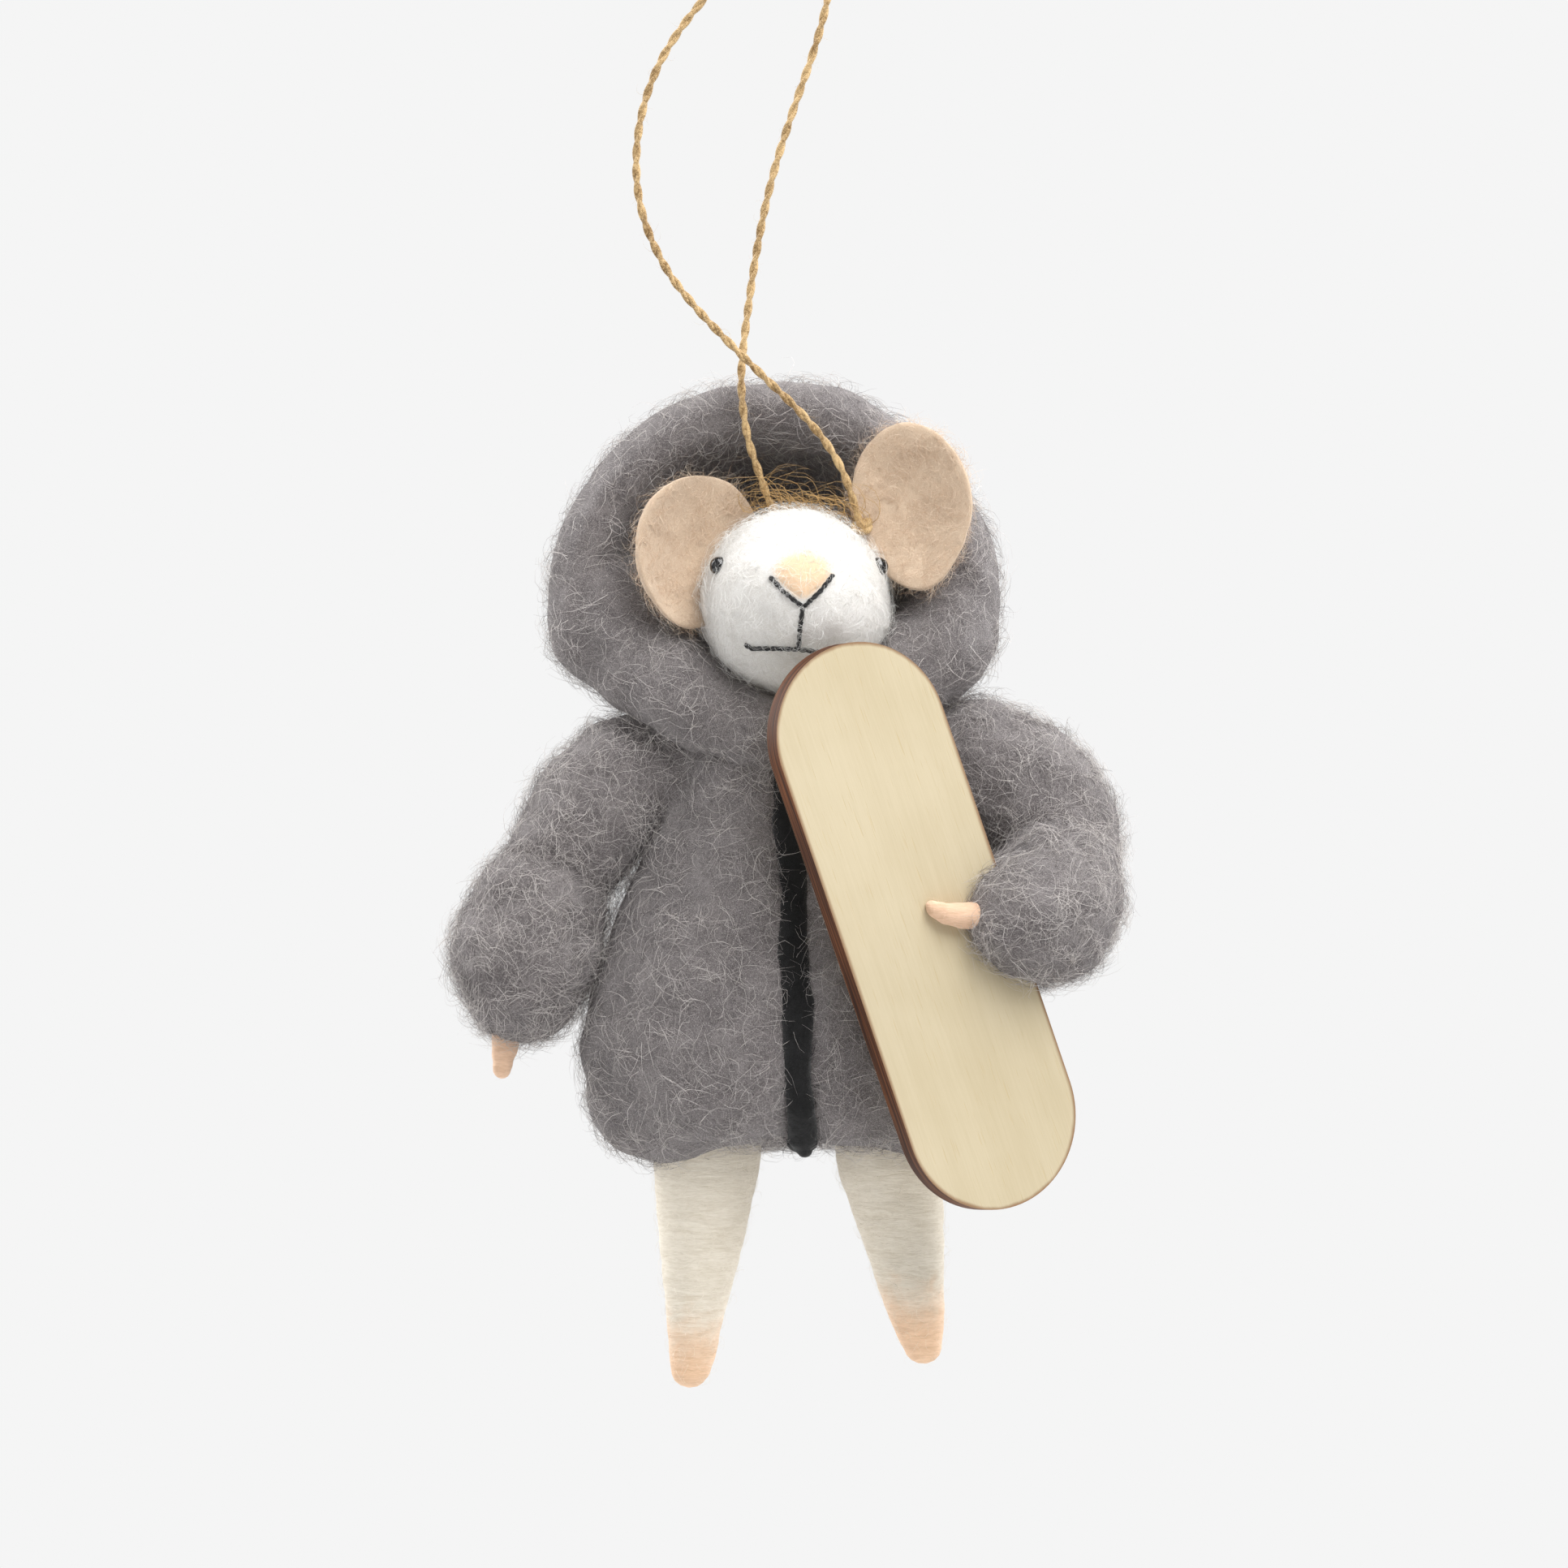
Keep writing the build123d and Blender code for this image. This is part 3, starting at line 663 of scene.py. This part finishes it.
BEAD = Material("bead", Base_Color=(0.006, 0.006, 0.007, 1), Roughness=0.06, Coat_Weight=0.6).made
for side, x in (("right", -10.2), ("left", 11.2)):
    mesh_piece(side + "_eye", make_eye(x, 109.9), BEAD, "head", [side + "_eye_bead"])


def make_thread():
    """Stitches of black thread, each a straight run over the wool with its ends drawn in."""
    maker = bmesh.new()
    routes = [
        [(-3.4, 108.3), (-1.6, 106.3), (1.0, 104.2)],
        [(5.0, 108.6), (3.3, 106.4), (1.0, 104.2)],
        [(1.0, 104.4), (0.6, 101.6), (0.4, 98.8)],
        [(-6.5, 99.4), (-5.6, 98.9), (-2.6, 98.9), (0.4, 98.8), (3.6, 98.4), (7.0, 99.3)],
    ]
    for route in routes:
        line = []
        for start, end in zip(route, route[1:]):
            steps = 8
            for step in range(steps + (end == route[-1])):
                share = step / steps
                x = start[0] + (end[0] - start[0]) * share
                height = start[1] + (end[1] - start[1]) * share
                line.append(on_face(x, height, 0.16))
        line[0] = on_face(*route[0], -0.5)
        line[-1] = on_face(*route[-1], -0.5)
        for ply in range(2):
            add_strand(maker, line, 0.24 * MM, 0.12 * MM, 2.0 * MM, ply * pi, 6)
    return applied("thread", maker)


THREAD = Material("thread", Base_Color=rgb(24, 23, 24), Roughness=0.8, Sheen_Weight=0.2).made
mesh_piece("face_stitches", make_thread(), THREAD, "head", ["face_thread"])


def make_patch():
    """The peach nose: a soft pad of wool felted on to the muzzle, thinning to its edge."""
    corners = [(0.95, 104.6), (4.6, 107.9), (5.0, 110.0), (3.0, 111.9), (-0.9, 112.0), (-3.2, 110.2),
               (-3.0, 107.8)]
    middle = (0.9, 108.6)
    maker = bmesh.new()
    around, across = 40, 8
    loops = []
    for ring in range(across + 1):
        share = ring / across
        loop = []
        for step in range(around):
            turn = step / around * len(corners)
            index = int(turn)
            start, end = corners[index], corners[(index + 1) % len(corners)]
            part = turn - index
            edge = (start[0] + (end[0] - start[0]) * part, start[1] + (end[1] - start[1]) * part)
            reach = share * (1 + 0.05 * sin(step * 1.9))
            point = on_face(middle[0] + (edge[0] - middle[0]) * reach,
                            middle[1] + (edge[1] - middle[1]) * reach,
                            0.45 * (1 - share ** 2) - 0.15 * share ** 4 - 0.02)
            loop.append(maker.verts.new(point))
        loops.append(loop)
    for low, high in zip(loops, loops[1:]):
        for side in range(around):
            after = (side + 1) % around
            maker.faces.new((low[side], high[side], high[after], low[after]))
    bmesh.ops.remove_doubles(maker, verts=maker.verts, dist=0.00001)
    back = [maker.verts.new(vertex.co + Vector((0, 0.6 * MM, 0))) for vertex in loops[-1]]
    for side in range(around):
        after = (side + 1) % around
        maker.faces.new((loops[-1][side], back[side], back[after], loops[-1][after]))
    maker.faces.new(back)
    bmesh.ops.recalc_face_normals(maker, faces=maker.faces)
    return applied("nose", maker, ("SUBSURF", {"levels": 1, "render_levels": 1}))


mesh_piece("nose_wool", make_patch(), WHITE_WOOL, "head", ["nose_patch"])

# ------------------------------------------------------------------ ears
EARS = {
    # centre, half width and half height, the way it faces, lean of its long axis in degrees, how far cupped
    "right_ear": ((-13.8, -7.6, 111.8), (9.2, 10.4), (0.44, -0.9, 0.05), -14.0, 3.2),
    "left_ear": ((15.9, -8.4, 117.7), (8.3, 11.2), (-0.25, -0.97, 0.08), 10.0, 2.6),
}


def make_ear(name):
    centre, (half_width, half_height), facing, lean, cup = EARS[name]
    facing = Vector(facing).normalized()
    upright = (Vector((0, 0, 1)) - facing * facing.z).normalized()
    upright.rotate(Matrix.Rotation(radians(-lean), 3, facing * -1))
    across = upright.cross(facing) * -1
    maker = bmesh.new()
    bmesh.ops.create_icosphere(maker, subdivisions=5, radius=1.0)
    for vertex in maker.verts:
        x, y, z = vertex.co
        narrow = 1.0 - 0.22 * max(0.0, -z) ** 1.5
        reach = min(1.0, x * x + z * z)
        flat = (1 if y > 0 else -1) * abs(y) ** 0.6 * 1.5
        depth = flat + cup * reach
        vertex.co = at(*centre) + (across * x * half_width * narrow + upright * z * half_height
                                   + facing * (depth - cup * 0.4)) * MM
    bmesh.ops.recalc_face_normals(maker, faces=maker.faces)
    return lumpy(applied(name, maker), 6.0, 0.3, 7.0)


ears = {}
for name in EARS:
    ears[name] = mesh_piece(name + "_felt", make_ear(name), EAR_FELT, "head", [name])

# ------------------------------------------------------------------ hands and legs


def wound_mesh(name, line, ridge=0.0, spacing=1.0, sides=48, steps=90, seed=0.0):
    """Wool wound round a wire: a round skin along points with radii, with low ridges where turns lie."""
    maker = bmesh.new()
    loops = []
    spans = len(line) - 1
    across = (line[-1][0] - line[0][0]).orthogonal().normalized()
    for step in range(steps + 1):
        place = step / steps * spans
        index = min(int(place), spans - 1)
        share = place - index
        (start, first), (end, last) = line[index], line[index + 1]
        centre = start.lerp(end, share)
        radius = first + (last - first) * share
        along = (line[-1][0] - line[0][0]).normalized()
        beside = along.cross(across)
        length = (centre - line[0][0]).length / MM
        loop = []
        for side in range(sides):
            turn = 2 * pi * side / sides
            wave = noise.noise(Vector((cos(turn) * 0.8, sin(turn) * 0.8 + seed, length / spacing)))
            reach = (radius + ridge * wave) * MM
            loop.append(maker.verts.new(centre + (across * cos(turn) + beside * sin(turn)) * reach))
        loops.append(loop)
    bridge(maker, loops)
    maker.faces.new(loops[0][::-1])
    maker.faces.new(loops[-1])
    bmesh.ops.recalc_face_normals(maker, faces=maker.faces)
    return applied(name, maker, ("SMOOTH", {"iterations": 1, "factor": 0.3}))


def rounded_end(stations, radius, steps=4):
    """Adds a round tip past the last station of a line."""
    before, end = stations[-2][0], stations[-1][0]
    along = (end - before).normalized()
    tip = []
    for step in range(1, steps + 1):
        turn = step / steps * pi / 2 * 0.97
        tip.append((end + along * sin(turn) * radius * MM, radius * cos(turn)))
    return stations + tip


LEGS = {
    # stations from the hip down, the toe's radius, and the height at which the colour changes
    "right": ([(at(-11.4, 0, 40), 7.0), (at(-11.9, 0, 31), 7.3), (at(-12.6, 0, 20), 5.7),
               (at(-13.4, 0, 10), 3.9), (at(-13.8, 0, 4.5), 3.1), (at(-14.0, 0, 2.7), 2.7)], 2.6, 7.7),
    "left": ([(at(11.3, 0, 40), 7.0), (at(12.8, 0, 30), 7.1), (at(14.6, 0, 20), 5.4),
              (at(15.9, 0, 12), 4.1), (at(16.8, 0, 7.5), 3.2), (at(17.1, 0, 5.9), 2.7)], 2.6, 12.0),
}
legs = {}
for side, (stations, toe, change) in LEGS.items():
    finish = wound(side + "_leg_wool", rgb(226, 218, 203), rgb(230, 194, 162), at(0, 0, change).z)
    seed = 4.0 if side == "left" else 0.0
    mesh = wound_mesh(side + "_leg_wool", rounded_end(stations, toe), 0.14, 1.3, 56, 130, seed)
    legs[side] = mesh_piece(side + "_leg_wool", mesh, finish, side + "_leg",
                            [side + "_leg", side + "_foot"])

board_low, board_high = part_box("board")
board_centre = Vector([(low + high) / 2 for low, high in zip(board_low, board_high)])
BOARD_HALF_THICK = 1.5
BOARD_END_RADIUS = 12.5
BOARD_STRAIGHT = 26.5    # half the length between the two ends' middles
BOARD_ALONG = Vector((-sin(radians(18.9)), -sin(radians(6.5)), cos(radians(18.9)))).normalized()
BOARD_FACING = (Vector((0, -1, 0)) - BOARD_ALONG * BOARD_ALONG.dot(Vector((0, -1, 0)))).normalized()
BOARD_FACING.rotate(Matrix.Rotation(radians(25.0), 3, BOARD_ALONG))
BOARD_ACROSS = BOARD_ALONG.cross(BOARD_FACING)


def on_board(across, along, proud):
    """A point over the board's face, in millimetres from its middle."""
    offset = BOARD_ACROSS * across + BOARD_ALONG * along + BOARD_FACING * (BOARD_HALF_THICK + proud)
    return board_centre + offset * MM


hand_line = [(at(-38.2, -2.5, 53), 2.4), (at(-38.6, -2.5, 49), 2.15), (at(-38.9, -2.6, 45.5), 1.75),
             (at(-39.2, -2.7, 42.8), 1.2)]
right_hand_mesh = wound_mesh("right_hand_wool", rounded_end(hand_line, 1.2), 0.16, 0.8, 32, 60)
right_hand = mesh_piece("right_hand_wool", right_hand_mesh,
                        HAND_WOOL, "right_forearm", ["right_hand"])
grip_line = [(on_board(14.0, -2.2, 2.2), 2.1), (on_board(9.6, -1.7, 1.7), 1.95),
             (on_board(5.6, -0.6, 1.5), 1.75), (on_board(2.4, 0.8, 1.25), 1.45),
             (on_board(1.2, 1.9, 0.95), 1.15)]
left_hand_mesh = wound_mesh("left_hand_wool", rounded_end(grip_line, 1.1), 0.16, 0.8, 32, 60, 9.0)
left_hand = mesh_piece("left_hand_wool", left_hand_mesh,
                       HAND_WOOL, "left_arm", ["left_hand"])

# ------------------------------------------------------------------ board


def board_finish():
    """Bare birch with fine grain along the board, and an edge browned by the laser that cut it."""
    mat = Material("birch_ply", Specular_IOR_Level=0.3)
    both = {0: mat.place, 1: tuple(board_centre)}
    shifted = mat.node("ShaderNodeVectorMath", {"operation": "SUBTRACT"}, both)

    def along(direction):
        ins = {0: shifted, 1: tuple(direction)}
        return mat.node("ShaderNodeVectorMath", {"operation": "DOT_PRODUCT"}, ins, "Value")

    length, width, depth = along(BOARD_ALONG), along(BOARD_ACROSS), along(BOARD_FACING)
    place = mat.node("ShaderNodeCombineXYZ", {}, {0: width, 1: depth, 2: length * 0.035})
    grain = mat.noise(2600.0, 3.0, 0.7, 0.3, place)
    broad = mat.noise(240.0, 3.0, 0.6, 0.8, place)
    pores = mat.noise(6500.0, 1.0, 0.5, 0.0, place).step(0.64, 0.74)
    blotch = mat.noise(70.0, 2.0, 0.5, 0.5)
    tone = (grain * 0.3 + broad * 0.4 + blotch * 0.3).step(0.3, 0.7)
    face = mat.mix(tone, rgb(186, 172, 142), rgb(196, 183, 155))
    face = mat.mix(pores * 0.4, face, rgb(184, 162, 120))
    past = (length.size() - BOARD_STRAIGHT * MM).most(0.0)
    inward = BOARD_END_RADIUS * MM - (past * past + width * width).root()
    scorch = 1 - (inward + (broad - 0.5) * 0.0006).step(0.00005, 0.0006)
    face = mat.mix(scorch * 0.75, face, rgb(120, 78, 44))
    layers = mat.node("ShaderNodeCombineXYZ", {}, {0: length * 60.0, 1: depth * 2400.0})
    plies = mat.noise(1.0, 2.0, 0.6, 0.2, layers)
    edge = mat.mix(plies.step(0.35, 0.7), rgb(46, 25, 14), rgb(112, 68, 40))
    on_edge = 1 - depth.size().greater(1.46 * MM)
    mat.colour(mat.mix(on_edge, face, edge))
    mat.rough(grain * 0.15 + 0.55)
    mat.bump(grain * 0.5 + pores * -0.5, 0.00006, 0.5)
    return mat.made


board = frame["nodes"]["board"]
board.data.materials.clear()
board.data.materials.append(board_finish())

# ------------------------------------------------------------------ knot and frayed tuft of jute


def make_knot():
    maker = bmesh.new()
    foot = TWINE_POINTS[-1] + Vector((0, -0.2, 0.6)) * MM
    for tilt in range(3):
        ring = []
        for step in range(25):
            turn = 2 * pi * step / 24
            reach = Vector((1.1 * cos(turn), 0.9 * sin(turn) * cos(tilt), 0.8 * sin(turn + tilt)))
            ring.append(foot + reach * MM)
        add_strand(maker, ring, 0.42 * MM, sides=7)
    add_ball(maker, foot, 0.9)
    return applied("knot", maker)


mesh_piece("twine_knot_jute", make_knot(), JUTE, "head", ["twine_knot"])


def make_tuft():
    """Frayed ends of the twine: loose loops of jute tangled over the top of the head."""
    maker = bmesh.new()
    for index in range(120):
        pick = [0.5 + 0.9 * noise.noise(Vector((index * 7.31, k * 5.1, 3.3 + k))) for k in range(7)]
        start = Vector((8.6 - 12.0 * ((index * 0.618) % 1.0) ** 1.6, -10.5 + 5.0 * pick[1], 0))
        drop = (start.x / HEAD_RADIUS) ** 2 + ((start.y + 6.0) / 16.0) ** 2
        start.z = 104.8 + HEAD_RADIUS * sqrt(max(0.05, 1 - drop)) - 0.3
        reach = 1.5 + 2.2 * pick[5]
        first, sweep = 2.6 * pick[2] - 0.6, (2.2 + 2.4 * pick[3]) * (1 if index % 2 else -1)
        lean = 0.55 + 0.6 * pick[4]
        line = []
        for step in range(11):
            turn = first + sweep * step / 10
            ring = Vector((cos(turn) - cos(first), 0, sin(turn) - sin(first))) * reach
            height = start.z + abs(ring.z) * lean + 0.25 * sin(step * 1.3 + index)
            line.append(at(start.x + ring.x * 1.3, start.y + ring.z * (lean - 0.5), height))
        add_strand(maker, line, (0.045 + 0.03 * pick[0]) * MM, sides=3, taper=True)
    return applied("tuft", maker)


mesh_piece("twine_tuft_jute", make_tuft(), HAIRS["jute"], "head", ["twine_tuft"])

# ------------------------------------------------------------------ wool fibres
HAIR_SHARE = 0.0062      # a hair's radius as a share of its length
MOST_TWIST = 2.2         # radians that a hair may turn about the skin's normal
FLOW_SCALE = 95.0        # how finely the shared direction changes over a skin
FLOW_TURN = 22.0         # radians of turn over the noise's whole range


def make_curls(count=9):
    """Short curly hairs for the fibre tree to scatter: three-sided, tapered, one long."""
    collection = bpy.data.collections.new("curls")
    for index in range(count):
        bend = (0.5 + 0.35 * index) * (1 if index % 2 else -1)
        line = [Vector((0, 0, -0.05))]
        for step in range(1, 5):
            share = step / 4
            turn = bend * share + 0.5 * sin(share * 4 + index)
            lift = 0.03 + (0.05 + 0.05 * (index % 4)) * sin(share * pi * 0.8)
            line.append(Vector((line[-1].x + cos(turn) / 4, line[-1].y + sin(turn) / 4, lift)))
        maker = bmesh.new()
        add_strand(maker, line, HAIR_SHARE, sides=3, taper=True)
        mesh = bpy.data.meshes.new("curl")
        maker.to_mesh(mesh)
        maker.free()
        curl = bpy.data.objects.new("curl_%d" % index, mesh)
        collection.objects.link(curl)
    return collection


curls = make_curls()


def fibre_tree():
    """Scatters curly hairs over a skin, each lying near it and turned about its normal at random."""
    tree = bpy.data.node_groups.new("wool_fibres", "GeometryNodeTree")
    sockets = (("Geometry", "Geometry"), ("Density", "Float"), ("Shortest", "Float"), ("Longest", "Float"),
               ("Seed", "Int"), ("Tilt", "Float"), ("Curls", "Collection"), ("Material", "Material"))
    for label, kind in sockets:
        tree.interface.new_socket(label, in_out="INPUT", socket_type="NodeSocket" + kind)
    tree.interface.new_socket("Geometry", in_out="OUTPUT", socket_type="NodeSocketGeometry")
    link = tree.links.new
    add = tree.nodes.new
    given, result = add("NodeGroupInput"), add("NodeGroupOutput")
    scatter = add("GeometryNodeDistributePointsOnFaces")
    link(given.outputs["Geometry"], scatter.inputs["Mesh"])
    link(given.outputs["Density"], scatter.inputs["Density"])
    link(given.outputs["Seed"], scatter.inputs["Seed"])
    pool = add("GeometryNodeCollectionInfo")
    link(given.outputs["Curls"], pool.inputs["Collection"])
    pool.inputs["Separate Children"].default_value = True
    spin = add("FunctionNodeRandomValue")
    spin.data_type = "FLOAT_VECTOR"
    low, high = add("ShaderNodeCombineXYZ"), add("ShaderNodeCombineXYZ")
    minus = add("ShaderNodeMath")
    minus.operation = "MULTIPLY"
    minus.inputs[1].default_value = -1.0
    link(given.outputs["Tilt"], minus.inputs[0])
    link(minus.outputs[0], low.inputs[0])
    link(minus.outputs[0], low.inputs[1])
    link(given.outputs["Tilt"], high.inputs[0])
    link(given.outputs["Tilt"], high.inputs[1])
    high.inputs[2].default_value = MOST_TWIST
    link(low.outputs[0], spin.inputs[0])
    link(high.outputs[0], spin.inputs[1])
    link(given.outputs["Seed"], spin.inputs["Seed"])
    # Neighbouring hairs lie roughly the same way: smooth noise turns them together.
    flow = add("ShaderNodeTexNoise")
    flow.inputs["Scale"].default_value = FLOW_SCALE
    flow.inputs["Detail"].default_value = 1.0
    swirl = add("ShaderNodeMath")
    swirl.operation = "MULTIPLY"
    swirl.inputs[1].default_value = FLOW_TURN
    link(flow.outputs[0], swirl.inputs[0])
    together = add("ShaderNodeCombineXYZ")
    link(swirl.outputs[0], together.inputs[2])
    level = add("FunctionNodeRotateRotation")
    level.rotation_space = "LOCAL"
    link(scatter.outputs["Rotation"], level.inputs[0])
    link(together.outputs[0], level.inputs[1])
    twist = add("FunctionNodeRotateRotation")
    twist.rotation_space = "LOCAL"
    link(level.outputs[0], twist.inputs[0])
    link(spin.outputs[0], twist.inputs[1])
    length = add("FunctionNodeRandomValue")
    link(given.outputs["Shortest"], length.inputs[2])
    link(given.outputs["Longest"], length.inputs[3])
    link(given.outputs["Seed"], length.inputs["Seed"])
    place = add("GeometryNodeInstanceOnPoints")
    link(scatter.outputs["Points"], place.inputs["Points"])
    link(pool.outputs[0], place.inputs["Instance"])
    place.inputs["Pick Instance"].default_value = True
    link(twist.outputs[0], place.inputs["Rotation"])
    link(length.outputs[1], place.inputs["Scale"])
    real = add("GeometryNodeRealizeInstances")
    link(place.outputs[0], real.inputs[0])
    finish = add("GeometryNodeSetMaterial")
    link(real.outputs[0], finish.inputs[0])
    link(given.outputs["Material"], finish.inputs["Material"])
    link(finish.outputs[0], result.inputs[0])
    return tree


FIBRES = fibre_tree()


def fuzz(skin, name, tone, count, shortest, longest, seed, tilt=0.25):
    """A piece of loose fibres over a skin, about count of them, with lengths in millimetres."""
    area = sum(face.area for face in skin.data.polygons)
    helper = bpy.data.objects.new(name + "_helper", skin.data.copy())
    bpy.context.scene.collection.objects.link(helper)
    modifier = helper.modifiers.new("fibres", "NODES")
    modifier.node_group = FIBRES
    values = {"Density": count / area, "Shortest": shortest * MM, "Longest": longest * MM, "Seed": seed,
              "Tilt": tilt, "Curls": curls, "Material": HAIRS[tone]}
    for item in FIBRES.interface.items_tree:
        if item.in_out == "INPUT" and item.name in values:
            modifier[item.identifier] = values[item.name]
    view = helper.evaluated_get(bpy.context.evaluated_depsgraph_get())
    mesh = bpy.data.meshes.new_from_object(view)
    bpy.data.objects.remove(helper)
    return mesh_piece(name, mesh, HAIRS[tone], body_of(skin)[0])


GREY_SKINS = {           # each skin and its share of the hairs
    "coat": (coat, 2.5),
    "hood": (hood, 2.4),
    "right_upper": (sleeves["right_upper_sleeve"], 0.7),
    "right_fore": (sleeves["right_fore_sleeve"], 0.9),
    "left_upper": (sleeves["left_upper_sleeve"], 0.9),
    "left_fore": (sleeves["left_fore_sleeve"], 0.9),
}
seed = 100
for name, (skin, share) in GREY_SKINS.items():
    seed += 10
    fuzz(skin, name + "_fuzz_light", "grey_light", int(2700 * share), 2.6, 6.5, seed, 0.15)
    fuzz(skin, name + "_fuzz_mid", "grey", int(2600 * share), 2.4, 5.5, seed + 1, 0.12)
    fuzz(skin, name + "_fuzz_dark", "grey_dark", int(1150 * share), 2.4, 5.0, seed + 2, 0.1)
fuzz(head, "head_fuzz", "white", 3800, 2.6, 4.6, 301, 0.12)
fuzz(head, "head_fuzz_dark", "white_dark", 1800, 2.4, 4.0, 302, 0.08)
for name, ear in ears.items():
    fuzz(ear, name + "_fuzz", "peach", 1500, 2.0, 3.8, 311, 0.12)
    fuzz(ear, name + "_fuzz_dark", "peach_dark", 900, 2.0, 3.6, 312, 0.1)
for side, leg in legs.items():
    fuzz(leg, side + "_leg_fuzz", "cream", 900, 1.5, 3.4, 321, 0.1)
fuzz(right_hand, "right_hand_fuzz", "peach", 160, 0.9, 2.0, 331, 0.15)
fuzz(left_hand, "left_hand_fuzz", "peach", 180, 0.9, 2.0, 332, 0.15)
fuzz(zip_piece, "zip_fuzz", "black", 1500, 1.5, 4.0, 341, 0.15)
fuzz(twine, "twine_fuzz", "jute", 260, 1.0, 2.4, 351, 0.25)

for curl in list(curls.objects):
    bpy.data.objects.remove(curl)
bpy.data.collections.remove(curls)
